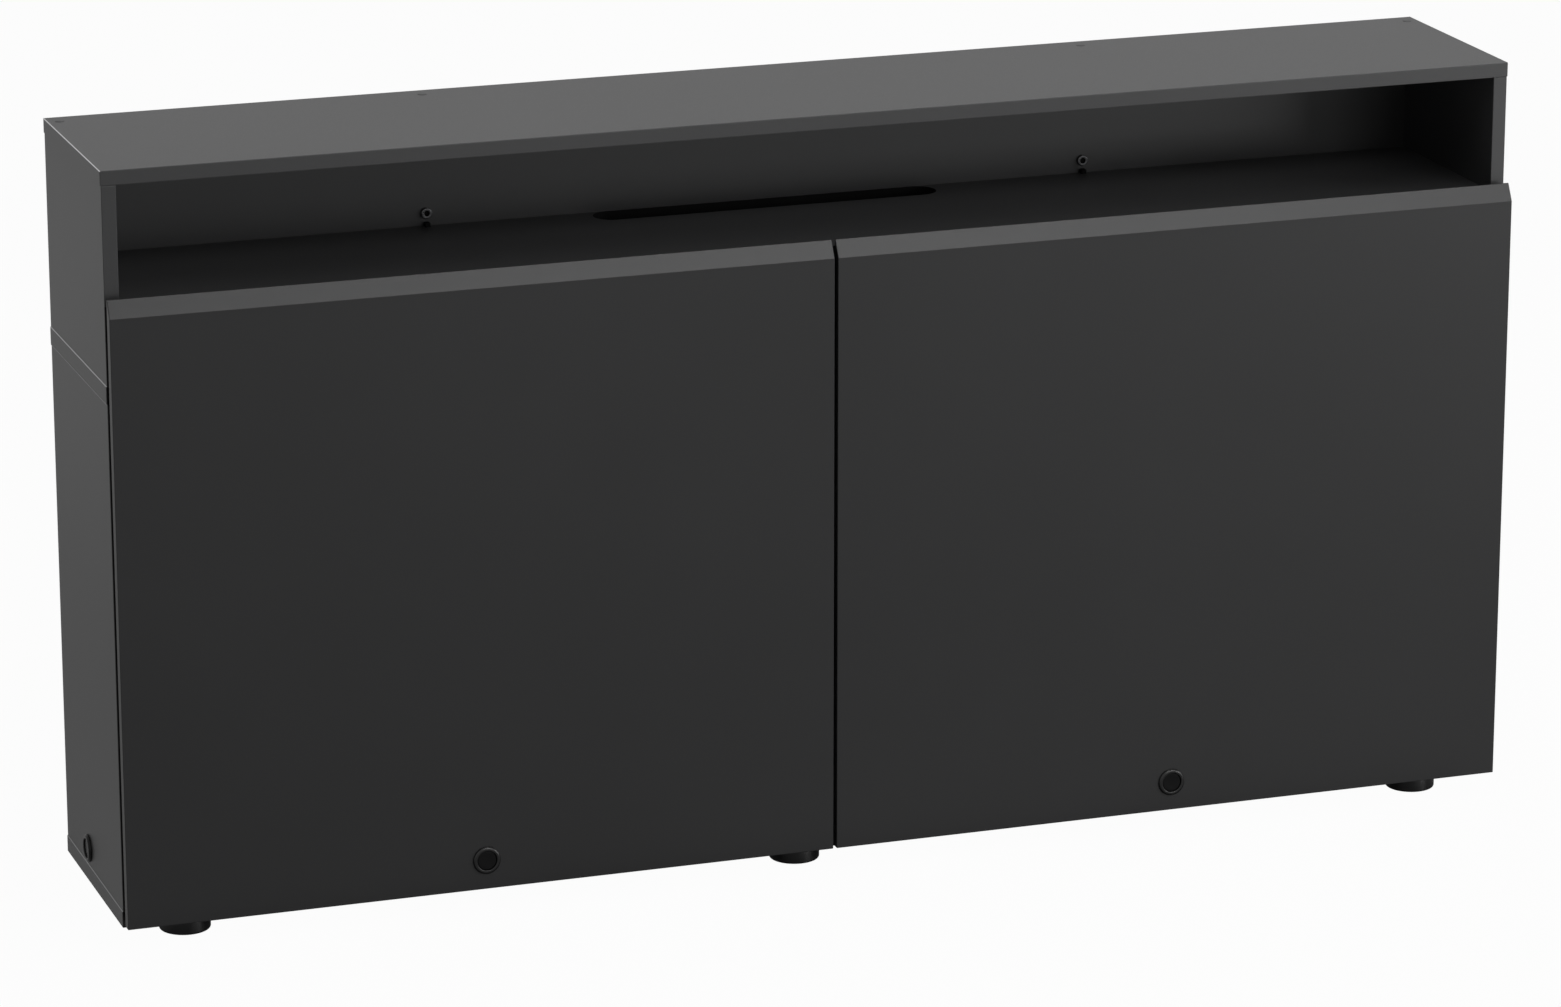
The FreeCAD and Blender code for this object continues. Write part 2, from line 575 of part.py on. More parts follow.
def feet():
    """Round levelling feet on threaded stems, in sockets under the bottom board."""
    socket_z = "(foot_height - socket_t)"
    socket_profile = [("stem_bore_d / 2", "0"), ("socket_d / 2 - socket_bevel", "0"),
                      ("socket_d / 2", "socket_t / 2"), ("socket_d / 2", "socket_t"),
                      ("stem_bore_d / 2", "socket_t")]
    neck_top = f"({socket_z} - socket_gap)"
    foot_profile = [("0", "0"), ("foot_d / 2 - foot_bevel", "0"), ("foot_d / 2", "foot_bevel"),
                    ("foot_d / 2", "foot_base_h - foot_bevel"), ("foot_d / 2 - foot_bevel", "foot_base_h"),
                    ("foot_neck_d / 2", "foot_base_h"),
                    ("foot_neck_d / 2", neck_top), ("stem_d / 2", neck_top),
                    ("stem_d / 2", f"{socket_z} + stem_length"), ("0", f"{socket_z} + stem_length")]
    sockets = []
    for name, x in zip(("left", "centre", "right"), foot_places()):
        for row, y in ROWS.items():
            sockets.append(turned(f"socket_{row}_{name}", socket_profile, x, f"{FRONT} + {y}", socket_z,
                                  named=False))
            turned(f"foot_{row}_{name}", foot_profile, x, f"{FRONT} + {y}", "0")
    group("foot_sockets", sockets)


def catches():
    """Magnets in the carcass front, strike plates on the flaps and soft bumpers between them."""
    magnets = []
    bumpers = []
    z = "foot_height + magnet_z"
    for side, sign in SIDES.items():
        x_wall = f"{sign} * {SIDE_INNER}"
        outer_low = f"{x_wall} - magnet_width" if sign > 0 else x_wall
        inner_low = "divider_t / 2" if sign > 0 else "-divider_t / 2 - magnet_width"
        strikes = []
        for place_name, x_low in (("outer", outer_low), ("inner", inner_low)):
            magnets.append(box(f"magnet_{place_name}_{side}", "magnet_width", "magnet_depth + magnet_proud",
                               "magnet_height", x_low, f"{FRONT} - magnet_proud", z))
            strikes.append(box(f"strike_{place_name}_{side}", "magnet_width", "strike_t", "magnet_height",
                               x_low, FLAP_BACK, z))
        group(f"strike_plates_{side}", strikes)
        for level in ("bumper_z", "mid_z - bumper_z"):
            bumpers.append(rod(f"bumper_{side}_{len(bumpers)}", "bumper_d", "bumper_t",
                               f"{sign} * (width / 2 - side_inset - side_t / 2)", FRONT,
                               f"foot_height + {level}", -Y_AXIS))
    group("magnet_catches", magnets)
    group("bumpers", bumpers)


def check_document():
    """Stops if anything failed to build."""
    for obj in DOC.Objects:
        if "Invalid" in obj.State or "Error" in obj.State:
            raise RuntimeError(f"{obj.Label} did not build: {obj.State}")
    for piece in NODES:
        if piece.Shape.isNull() or not piece.Shape.isValid():
            raise RuntimeError(f"{piece.Label} has no valid shape")


def write_parts():
    os.makedirs("parts", exist_ok=True)
    for piece in NODES:
        piece.Shape.exportStep(f"parts/{piece.Label}.step")
        print(f"{piece.Label}: {len(piece.Shape.Solids)} solids, {piece.Shape.Volume / 1000:.1f} cm3")


fill_sheet()
carcass_boards()
niche()
bays()
flaps()
hinges()
struts()
knobs_and_ports()
feet()
catches()
DOC.recompute()
check_document()
write_parts()
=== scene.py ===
"""Looks of a low cabinet: satin boards, bevelled lift-up flaps, round ports, struts, hinges and feet."""
import json
import math

import bmesh
import bpy
from bpy.props import FloatProperty, FloatVectorProperty, IntProperty, PointerProperty
from mathutils import Matrix, Vector


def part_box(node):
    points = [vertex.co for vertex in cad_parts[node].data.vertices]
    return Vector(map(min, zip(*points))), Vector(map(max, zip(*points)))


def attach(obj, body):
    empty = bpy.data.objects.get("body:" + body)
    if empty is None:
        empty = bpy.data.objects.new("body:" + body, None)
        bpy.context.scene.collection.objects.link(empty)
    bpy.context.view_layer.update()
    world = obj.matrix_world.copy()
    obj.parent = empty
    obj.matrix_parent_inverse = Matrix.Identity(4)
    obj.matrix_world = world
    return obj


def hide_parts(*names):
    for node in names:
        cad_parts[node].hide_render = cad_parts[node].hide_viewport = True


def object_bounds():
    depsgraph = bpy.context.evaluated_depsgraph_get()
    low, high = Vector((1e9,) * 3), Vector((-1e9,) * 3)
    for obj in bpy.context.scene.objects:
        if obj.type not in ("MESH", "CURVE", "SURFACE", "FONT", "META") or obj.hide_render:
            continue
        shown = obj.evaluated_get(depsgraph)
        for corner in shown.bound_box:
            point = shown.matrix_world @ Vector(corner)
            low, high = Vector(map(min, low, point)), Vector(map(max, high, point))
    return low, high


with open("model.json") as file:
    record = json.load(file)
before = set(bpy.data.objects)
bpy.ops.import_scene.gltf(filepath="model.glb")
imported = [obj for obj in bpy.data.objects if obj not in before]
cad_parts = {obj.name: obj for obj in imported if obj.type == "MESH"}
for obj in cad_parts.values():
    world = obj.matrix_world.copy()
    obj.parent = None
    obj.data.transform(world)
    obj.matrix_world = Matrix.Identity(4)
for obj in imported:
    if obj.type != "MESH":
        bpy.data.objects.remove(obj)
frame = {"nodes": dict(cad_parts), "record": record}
CAD_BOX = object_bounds()

bl_info = {
    "name": "Low cabinet looks",
    "version": (1, 0, 0),
    "blender": (4, 5, 0),
    "location": "View3D > Sidebar > Cabinet",
    "description": "Finishes, fixings and stage for a low cabinet with two lift-up flaps",
    "category": "Object",
}

SLOTS = {entry["node"]: entry["material_slot"] for entry in frame["record"]["subparts"]}
SIDES = {"left": -1, "right": 1}
FEET = [f"foot_{row}_{place}" for row in ("front", "rear") for place in ("left", "centre", "right")]
FORWARD, BACKWARD, UPWARD = (0, -1, 0), (0, 1, 0), (0, 0, 1)

# Surface noise: its middle range, then sizes of features and depths of bumps
NOISE_RANGE = (0.3, 0.7)
CLOUD_SIZE = 0.22
GRAIN_SIZE, GRAIN_DEPTH = 0.0005, 0.00003
PATCH_SIZE = 0.012
PEEL_SIZE, PEEL_DEPTH = 0.0022, 0.00006
PAINT_CLOUD_SIZE = 0.02
LINE_SIZE, LINE_DEPTH = 0.0004, 0.00001
BLOOM_SIZE, BLOOM_DEPTH = 0.002, 0.00004

# Strips on the boards' ends, bright metal that paints the highlight lines of their rounded edges and seams:
# brightness beside the painted highlight colour, then shares of their own sizes
HIGHLIGHT_STRIP_SHARES = {"top_strips": 1.0, "mid_strips": 0.45, "bottom_strips": 0.25}
STRIP_SINK = 0.25
LIP_FOOT = 1.4
BEAD_INSET = 0.75

# Turned shapes: radius that counts as none, and steps round the axis
ON_AXIS = 1e-7
SEGMENTS, BOLT_SEGMENTS, CAP_SEGMENTS, SCREW_SEGMENTS = 96, 64, 48, 20

# Rings of a screw head by radius and height, and steps of a hollow face by radius and hollow, as shares
HEAD_RINGS = ((1.0, -0.3), (1.0, 0.2), (0.82, 0.7), (0.5, 1.0))
DISH_STEPS = ((0.6, 0.7), (0.3, 0.95), (0.0, 1.0))

# Places of screws, from an edge or as a share of a hinge's length
HINGES = 3
HINGE_SCREW_SHARE = 0.36
FRAME_LEAF_RISE, FLAP_LEAF_RISE = 0.0075, 0.009
WALL_BRACKET_INSET = 0.008
FLAP_BRACKET_INSET_X, FLAP_BRACKET_INSET_Z = 0.010, 0.009
BACK_INSET = 0.012

# Top board's inner caps, from its middle, and fine roundings
INNER_CAP_X = 0.385
CAP_ROUNDING = 0.00015
SOCKET_ROUNDING = 0.0003

# Floor: half its width, where its mirrored light grows out of the painted shade near the cabinet, and the
# shade by the cabinet's feet
FLOOR_HALF = 30.0
GLOSS_START, GLOSS_END = 1.4, 3.0
SHADE_INSET_X, SHADE_REACH_Y = 0.03, 0.05
SHADE_START, SHADE_END, SHADE_LEVEL = -0.03, 0.04, 0.15

# Softboxes: place, point that it faces, and size
BODY_AIM, LIP_AIM = (0, 0, 0.45), (0, -0.13, 0.7)
LAMPS = {
    "top_strip": ((0.6, -0.55, 3.3), (0.1, -0.12, 0.72), (5.0, 0.3)),
    "bevel_front": ((1.553, -3.723, 3.32), LIP_AIM, (3.2, 0.45)),
    "bevel_gleam": ((1.447, -3.477, 3.68), LIP_AIM, (3.2, 0.45)),
    "right_far": ((4.6, -2.4, 1.6), BODY_AIM, (1.6, 1.2)),
    "right_low": ((3.9, -4.2, 0.5), (0, -0.13, 0.5), (2.0, 0.6)),
    "right_front": ((1.9, -5.5, 1.3), BODY_AIM, (1.8, 1.6)),
}

# Camera: sensor width in millimetres and end of its view in metres
SENSOR_WIDTH = 36.0
VIEW_END = 200.0


class CabinetFinish(bpy.types.PropertyGroup):
    """Colours and surface scale of the cabinet's finishes."""
    board_colour: FloatVectorProperty(
        name="Board colour", description="Anthracite facing of the carcass boards",
        subtype="COLOR", size=3, min=0, max=1, default=(0.068, 0.0682, 0.0696))
    flap_colour: FloatVectorProperty(
        name="Flap colour", description="Anthracite facing of the two flaps",
        subtype="COLOR", size=3, min=0, max=1, default=(0.030, 0.0301, 0.0308))
    plastic_colour: FloatVectorProperty(
        name="Plastic colour", description="Moulded buttons, plugs, ports and fittings",
        subtype="COLOR", size=3, min=0, max=1, default=(0.0035, 0.0035, 0.0037))
    foot_colour: FloatVectorProperty(
        name="Foot colour", description="Moulded feet and sockets",
        subtype="COLOR", size=3, min=0, max=1, default=(0.003, 0.003, 0.0032))
    metal_paint: FloatVectorProperty(
        name="Metal paint", description="Black paint of struts and brackets",
        subtype="COLOR", size=3, min=0, max=1, default=(0.010, 0.010, 0.0104))
    rim_colour: FloatVectorProperty(
        name="Rim colour", description="Moulded rims of the flaps' round knobs",
        subtype="COLOR", size=3, min=0, max=1, default=(0.005, 0.005, 0.0052))
    # Painted shade: a near-black strip on the carcass's front edges behind the flaps, for the shadow in the
    # gap there, not an edge band.
    gap_shade_colour: FloatVectorProperty(
        name="Band colour", description="Black edge band on the carcass's front edges behind the flaps",
        subtype="COLOR", size=3, min=0, max=1, default=(0.003, 0.003, 0.003))
    connector_colour: FloatVectorProperty(
        name="Connector colour", description="Dark burnished metal of the connector bolts' heads",
        subtype="COLOR", size=3, min=0, max=1, default=(0.12, 0.12, 0.124))
    steel_colour: FloatVectorProperty(
        name="Steel colour", description="Plated steel of hinges, pins and screws",
        subtype="COLOR", size=3, min=0, max=1, default=(0.52, 0.51, 0.49))
    board_roughness: FloatProperty(
        name="Board roughness", description="How satin the facing is", default=0.38, min=0, max=1)
    pearl_size: FloatProperty(
        name="Pearl size", description="Width of one bump of the facing's fine texture",
        default=0.0009, unit="LENGTH")
    pearl_depth: FloatProperty(
        name="Pearl depth", description="Height of the facing's fine texture",
        default=0.00004, unit="LENGTH")
    # Depth of the painted shade strip on the front edges.
    gap_shade_depth: FloatProperty(
        name="Band thickness", description="Thickness of the black edge band", default=0.002, unit="LENGTH")
    # Painted highlight: colour of the bright strips along the boards' ends and seams, for light caught by
    # their rounded edges, not a cut edge.
    painted_highlight_colour: FloatVectorProperty(
        name="Bead colour", description="Bright cut edge of the facing along the boards' ends",
        subtype="COLOR", size=3, min=0, max=1, default=(0.74, 0.74, 0.75))
    bead_radius: FloatProperty(
        name="Bead radius", description="Rounding of the edge along the top board's ends",
        default=0.0008, unit="LENGTH")
    lip_height: FloatProperty(
        name="Lip height", description="Height of the fine lip on the sides below the mid board",
        default=0.0005, unit="LENGTH")


class CabinetFixings(bpy.types.PropertyGroup):
    """Sizes of the small screws that the scene adds, and of the connector bolts."""
    head_diameter: FloatProperty(
        name="Head diameter", description="Width of a hinge or bracket screw's head",
        default=0.0066, unit="LENGTH")
    head_height: FloatProperty(
        name="Head height", description="How far a hinge screw's head stands proud",
        default=0.00022, unit="LENGTH")
    back_head_diameter: FloatProperty(
        name="Back head diameter", description="Width of a back panel screw's head",
        default=0.008, unit="LENGTH")
    back_head_height: FloatProperty(
        name="Back head height", description="How far a back panel screw's head stands proud",
        default=0.0018, unit="LENGTH")
    back_pitch: FloatProperty(
        name="Back pitch", description="Distance between screws along the back panel",
        default=0.19, unit="LENGTH")
    leaf_thickness: FloatProperty(
        name="Leaf thickness", description="Thickness of a hinge leaf", default=0.002, unit="LENGTH")
    hinge_length: FloatProperty(
        name="Hinge length", description="Length of one hinge", default=0.070, unit="LENGTH")
    bracket_thickness: FloatProperty(
        name="Bracket thickness", description="Thickness of a strut bracket's plate",
        default=0.0025, unit="LENGTH")
    socket_diameter: FloatProperty(
        name="Socket diameter", description="Driver socket of a connector bolt",
        default=0.0062, unit="LENGTH")
    shank_diameter: FloatProperty(
        name="Shank diameter", description="Shank of a connector bolt", default=0.0064, unit="LENGTH")
    bolt_rounding: FloatProperty(
        name="Bolt rounding", description="Rounding of a connector bolt's head",
        default=0.0009, unit="LENGTH")
    head_seed: IntProperty(
        name="Head seed", description="Seed for the angles that the screws were left at", default=7)


class CabinetPorts(bpy.types.PropertyGroup):
    """Sizes of the round knobs and side ports."""
    cup_diameter: FloatProperty(
        name="Cup diameter", description="Inner width of a rim", default=0.022, unit="LENGTH")
    barrel_diameter: FloatProperty(
        name="Barrel diameter", description="Outer width of the part in the board",
        default=0.0248, unit="LENGTH")
    floor_thickness: FloatProperty(
        name="Floor thickness", description="Floor of a knob's housing", default=0.0015, unit="LENGTH")
    rim_rounding: FloatProperty(
        name="Rim rounding", description="Rounding of a rim's outer edge", default=0.0026, unit="LENGTH")
    lip_rounding: FloatProperty(
        name="Lip rounding", description="Rounding of a rim's inner edge", default=0.0009, unit="LENGTH")
    button_rounding: FloatProperty(
        name="Button rounding", description="Rounding of a button's edge", default=0.0007, unit="LENGTH")
    button_dish: FloatProperty(
        name="Button dish", description="How far a button's face is hollowed", default=0.0003, unit="LENGTH")


class CabinetFeet(bpy.types.PropertyGroup):
    """Sizes of the round feet."""
    base_height: FloatProperty(
        name="Base height", description="Height of a foot's wide base", default=0.018, unit="LENGTH")
    neck_diameter: FloatProperty(
        name="Neck diameter", description="Width of a foot above its base", default=0.034, unit="LENGTH")
    neck_top: FloatProperty(
        name="Neck top", description="Height where the neck ends", default=0.0195, unit="LENGTH")
    stem_diameter: FloatProperty(
        name="Stem diameter", description="Width of the threaded stem", default=0.0098, unit="LENGTH")
    rounding: FloatProperty(
        name="Rounding", description="Rounding of a foot's edges", default=0.0024, unit="LENGTH")
    neck_rounding: FloatProperty(
        name="Neck rounding", description="Hollow where the neck meets the base",
        default=0.0006, unit="LENGTH")


class CabinetStage(bpy.types.PropertyGroup):
    """Floor, lights and camera."""
    floor_colour: FloatVectorProperty(
        name="Floor colour", description="Pale floor under the cabinet",
        subtype="COLOR", size=3, min=0, max=1, default=(0.86, 0.86, 0.86))
    top_power: FloatProperty(
        name="Top light", description="Watts of the overhead strip above the front edge", default=19.0)
    bevel_power: FloatProperty(
        name="Bevel light", description="Watts of the high front softbox", default=34.0)
    gleam_power: FloatProperty(
        name="Bevel gleam", description="Watts of the softbox over it, which lights reflections alone",
        default=28.0)
    right_power: FloatProperty(
        name="Right light", description="Watts of the softbox far round on the right", default=39.0)
    low_power: FloatProperty(
        name="Low light", description="Watts of the softbox near the floor on the right", default=35.0)
    front_power: FloatProperty(
        name="Front light", description="Watts of the weak front fill", default=14.5)
    studio_gloss: FloatProperty(
        name="Studio gloss", description="How bright the white studio is in reflections", default=0.64)
    # Painted shade: the floor near the cabinet is dimmer in reflections than the open floor.
    floor_near_gloss: FloatProperty(
        name="Near floor gloss", description="How bright the floor beside the feet is in reflections",
        default=0.357)
    floor_far_gloss: FloatProperty(
        name="Far floor gloss", description="How bright the open floor is in reflections", default=0.493)
    ambient: FloatProperty(
        name="Ambient", description="Even light from all round on matt surfaces", default=0.04)
    floor_white: FloatProperty(
        name="Floor white", description="Share of plain white in the floor as the eye sees it", default=0.97)
    camera_place: FloatVectorProperty(
        name="Camera place", description="Where the camera stands",
        size=3, unit="LENGTH", default=(-2.2185, -6.3534, 2.3542))
    camera_tilt: FloatProperty(
        name="Camera tilt", description="Angle of the camera from looking straight down",
        unit="ROTATION", default=math.radians(73.685))
    camera_turn: FloatProperty(
        name="Camera turn", description="Turn of the camera about the upright",
        unit="ROTATION", default=math.radians(-19.127))
    camera_lens: FloatProperty(
        name="Camera lens", description="Focal length on a 36 mm wide sensor", default=145.76)


# Shader helpers

def new_material(name):
    """Material with a lone surface shader, its output and Object coordinates."""
    material = bpy.data.materials.new(name)
    material.use_nodes = True
    tree = material.node_tree
    tree.nodes.clear()
    output = tree.nodes.new("ShaderNodeOutputMaterial")
    shader = tree.nodes.new("ShaderNodeBsdfPrincipled")
    place = tree.nodes.new("ShaderNodeTexCoord")
    tree.links.new(shader.outputs["BSDF"], output.inputs["Surface"])
    return material, tree, shader, place.outputs["Object"]


def noise(tree, place, size, detail=3.0, stretch=(1, 1, 1)):
    """Noise whose features are about one size across, longer along stretched axes."""
    mapping = tree.nodes.new("ShaderNodeMapping")
    mapping.inputs["Scale"].default_value = [1 / (size * s) for s in stretch]
    texture = tree.nodes.new("ShaderNodeTexNoise")
    texture.inputs["Scale"].default_value = 1.0
    texture.inputs["Detail"].default_value = detail
    tree.links.new(place, mapping.inputs["Vector"])
    tree.links.new(mapping.outputs["Vector"], texture.inputs["Vector"])
    return texture.outputs["Fac"]


def mapped(tree, value, start, end, low, high, course="LINEAR"):
    """Runs from low to high as a value goes from start to end."""
    node = tree.nodes.new("ShaderNodeMapRange")
    node.interpolation_type = course
    node.inputs["From Min"].default_value = start
    node.inputs["From Max"].default_value = end
    node.inputs["To Min"].default_value = low
    node.inputs["To Max"].default_value = high
    tree.links.new(value, node.inputs["Value"])
    return node.outputs["Result"]


def uneven_sheen(tree, shader, value, roughness, swing):
    """Roughness that a noise swings a little either way."""
    level = mapped(tree, value, *NOISE_RANGE, roughness - swing, roughness + swing)
    tree.links.new(level, shader.inputs["Roughness"])


def shade_between(tree, value, colour, dark, light):
    """A colour that a noise shades from a dark to a light tint of it."""
    ramp = tree.nodes.new("ShaderNodeValToRGB")
    for stop, position, factor in zip(ramp.color_ramp.elements, NOISE_RANGE, (dark, light)):
        stop.position = position
        stop.color = (*tint(colour, factor), 1)
    tree.links.new(value, ramp.inputs["Fac"])
    return ramp.outputs["Color"]


def mottle(tree, shader, value, colour, dark, light):
    """Base colour shaded by a noise."""
    tree.links.new(shade_between(tree, value, colour, dark, light), shader.inputs["Base Color"])


def bump(tree, shader, height, depth):
    """Fine relief from a noise."""
    node = tree.nodes.new("ShaderNodeBump")
    node.inputs["Strength"].default_value = 1.0
    node.inputs["Distance"].default_value = depth
    tree.links.new(height, node.inputs["Height"])
    tree.links.new(node.outputs["Normal"], shader.inputs["Normal"])


def tint(colour, factor):
    """Colour made darker or lighter."""
    return tuple(channel * factor for channel in colour)


def feed(tree, socket, value):
    """Sets a socket to a number, or links another socket to it."""
    if isinstance(value, float):
        socket.default_value = value
    else:
        tree.links.new(value, socket)


def calculated(tree, operation, first, second):
    """Result of a sum on two values, each a socket or a number."""
    node = tree.nodes.new("ShaderNodeMath")
    node.operation = operation
    for socket, value in zip(node.inputs, (first, second)):
        feed(tree, socket, value)
    return node.outputs["Value"]


def painted_gap_shade(tree, place, colour, gap_shade, front, top):
    """Colour that turns to a given near-black of painted shade on faces in front of a plane and below a
    height.
    """
    split = tree.nodes.new("ShaderNodeSeparateXYZ")
    tree.links.new(place, split.inputs["Vector"])
    at_front = calculated(tree, "LESS_THAN", split.outputs["Y"], front)
    under_top = calculated(tree, "LESS_THAN", split.outputs["Z"], top)
    blend = tree.nodes.new("ShaderNodeMixRGB")
    blend.inputs["Color2"].default_value = (*gap_shade, 1)
    tree.links.new(calculated(tree, "MULTIPLY", at_front, under_top), blend.inputs["Fac"])
    tree.links.new(colour, blend.inputs["Color1"])
    return blend.outputs["Color"]


# Finishes

def board_finish(name, colour, finish, roughness, gap_shade=None):
    """Satin melamine: faint cloudiness, fine pearl bumps and a little uneven sheen.

    The last argument gives the colour, front plane and top of a near-black strip of painted shade over the
    carcass's front edges, for the shadow in the gap behind the flaps.
    """
    material, tree, shader, place = new_material(name)
    cloud = noise(tree, place, CLOUD_SIZE, 4.0)
    facing = shade_between(tree, cloud, colour, 0.95, 1.05)
    if gap_shade:
        facing = painted_gap_shade(tree, place, facing, *gap_shade)
    tree.links.new(facing, shader.inputs["Base Color"])
    pearl = noise(tree, place, finish.pearl_size, 2.0)
    uneven_sheen(tree, shader, pearl, roughness, 0.03)
    bump(tree, shader, pearl, finish.pearl_depth)
    shader.inputs["Specular IOR Level"].default_value = 0.4
    return material


def moulded_finish(name, colour, roughness, shine=0.45):
    """Moulded plastic with a fine spark-eroded grain."""
    material, tree, shader, place = new_material(name)
    grains = noise(tree, place, GRAIN_SIZE)
    mottle(tree, shader, grains, colour, 0.85, 1.2)
    uneven_sheen(tree, shader, noise(tree, place, PATCH_SIZE), roughness, 0.05)
    bump(tree, shader, grains, GRAIN_DEPTH)
    shader.inputs["Specular IOR Level"].default_value = shine
    return material


def turned_sheen(material, amount):
    """Draws a finish's highlights out along the axis, as on a piece turned about an upright."""
    tree = material.node_tree
    shader = next(node for node in tree.nodes if node.type == "BSDF_PRINCIPLED")
    around = tree.nodes.new("ShaderNodeTangent")
    around.direction_type = "RADIAL"
    around.axis = "Z"
    tree.links.new(around.outputs["Tangent"], shader.inputs["Tangent"])
    shader.inputs["Anisotropic"].default_value = amount
    shader.inputs["Anisotropic Rotation"].default_value = 0.25


def painted_finish(name, colour, roughness):
    """Satin black paint over steel, with slight orange peel."""
    material, tree, shader, place = new_material(name)
    peel = noise(tree, place, PEEL_SIZE, 2.0)
    cloud = noise(tree, place, PAINT_CLOUD_SIZE)
    mottle(tree, shader, cloud, colour, 0.85, 1.2)
    uneven_sheen(tree, shader, cloud, roughness, 0.06)
    bump(tree, shader, peel, PEEL_DEPTH)
    return material


def plated_finish(name, colour, roughness, stretch=(1, 1, 1)):
    """Bright metal with fine marks, drawn out along stretched axes."""
    material, tree, shader, place = new_material(name)
    lines = noise(tree, place, LINE_SIZE, stretch=stretch)
    mottle(tree, shader, lines, colour, 0.82, 1.08)
    uneven_sheen(tree, shader, lines, roughness, 0.07)
    bump(tree, shader, lines, LINE_DEPTH)
    shader.inputs["Metallic"].default_value = 1.0
    return material


def soft_finish(name, colour):
    """Soft bumper rubber with a dusty bloom."""
    material, tree, shader, place = new_material(name)
    bloom = noise(tree, place, BLOOM_SIZE, 4.0)
    mottle(tree, shader, bloom, colour, 0.8, 1.35)
    uneven_sheen(tree, shader, bloom, 0.65, 0.1)
    bump(tree, shader, bloom, BLOOM_DEPTH)
    return material


FINISHES = {}


def make_finishes(finish):
    """One material for each slot of the record, and those of the end strips, knobs and connector bolts."""
    steel = tuple(finish.steel_colour)
    board = tuple(finish.board_colour)
    painted_highlight = tuple(finish.painted_highlight_colour)
    plastic = tuple(finish.plastic_colour)
    along_x, along_z = (60, 1, 1), (1, 1, 30)
    shelf_low, shelf_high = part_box("niche_shelf")
    # Painted shade: front edges of the carcass boards below the shelf top turn near black, for the shadow in
    # the gap behind the flaps.
    gap_shade = (tuple(finish.gap_shade_colour), shelf_low.y + finish.gap_shade_depth, shelf_high.z)
    FINISHES["board"] = board_finish("anthracite_board", board, finish, finish.board_roughness, gap_shade)
    FINISHES["flap_board"] = board_finish("anthracite_flap", tuple(finish.flap_colour), finish,
                                          finish.board_roughness)
    # Painted highlight: bright metal strips along the boards' ends draw the light lines of their rounded
    # edges and seams.
    for name, share in HIGHLIGHT_STRIP_SHARES.items():
        FINISHES[name] = plated_finish(name, tint(painted_highlight, share), roughness=0.3)
    FINISHES["board_caps"] = moulded_finish("board_cap_plastic", tint(board, 1.05), roughness=0.5)
    FINISHES["black_plastic"] = moulded_finish("black_fitting_plastic", tint(plastic, 0.6),
                                               roughness=0.7, shine=0.12)
    FINISHES["port_plastic"] = moulded_finish("port_plastic", plastic, roughness=0.26, shine=0.22)
    FINISHES["knob_rim"] = moulded_finish("knob_rim_plastic", tuple(finish.rim_colour),
                                          roughness=0.3, shine=0.5)
    FINISHES["foot_plastic"] = moulded_finish("foot_plastic", tuple(finish.foot_colour),
                                              roughness=0.42, shine=0.6)
    turned_sheen(FINISHES["foot_plastic"], 0.7)
    FINISHES["knob_face"] = moulded_finish("knob_face_plastic", plastic, roughness=0.34, shine=0.18)
    FINISHES["black_metal"] = painted_finish("satin_black_metal", tuple(finish.metal_paint), roughness=0.38)
    FINISHES["zinc_steel"] = plated_finish("zinc_steel", tint(steel, 1.05), 0.36, along_x)
    FINISHES["nickel_steel"] = plated_finish("nickel_steel", steel, 0.3, along_x)
    FINISHES["polished_rod"] = plated_finish("polished_rod", tint(steel, 1.2), 0.14, along_z)
    FINISHES["bare_connector"] = plated_finish("burnished_connector", tuple(finish.connector_colour),
                                               roughness=0.26)
    FINISHES["soft_bumper"] = soft_finish("soft_bumper", tint(plastic, 2.2))


def dress(*names):
    """Gives solids of the frame the finish of their slot."""
    for name in names:
        solid = frame["nodes"][name]
        solid.data.materials.clear()
        solid.data.materials.append(FINISHES[SLOTS[name]])


# Mesh helpers

def add_piece(name, mesh, body):
    """Links a finished mesh as a piece that rides on a body."""
    piece = bpy.data.objects.new(name, mesh)
    bpy.context.scene.collection.objects.link(piece)
    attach(piece, body)
    return piece


def add_turned(bm, profile, place, direction, segments=SEGMENTS):
    """Adds a turned shape and gives its rings, one for each (radius, height) of a profile.

    A profile that starts and ends on the axis closes there; one that ends where it started makes a sleeve.
    """
    turn = Vector(UPWARD).rotation_difference(Vector(direction)).to_matrix().to_4x4()
    move = Matrix.Translation(Vector(place)) @ turn
    sleeve = profile[0] == profile[-1]
    rings = []
    for radius, height in profile[:-1] if sleeve else profile:
        count = 1 if radius < ON_AXIS else segments
        angles = [2 * math.pi * i / segments for i in range(count)]
        rings.append([bm.verts.new(move @ Vector((radius * math.cos(a), radius * math.sin(a), height)))
                      for a in angles])
    if sleeve:
        rings.append(rings[0])
    for low, high in zip(rings, rings[1:]):
        for i in range(segments):
            j = (i + 1) % segments
            corners = (low[i % len(low)], low[j % len(low)], high[j % len(high)], high[i % len(high)])
            bm.faces.new(list(dict.fromkeys(corners)))
    return rings


def finish_mesh(bm, name, material, crease=35.0):
    """Smooth-shaded mesh with crisp corners and one material."""
    bmesh.ops.recalc_face_normals(bm, faces=bm.faces)
    mark_creases(bm, crease)
    mesh = bpy.data.meshes.new(name)
    bm.to_mesh(mesh)
    bm.free()
    mesh.materials.append(material)
    return mesh


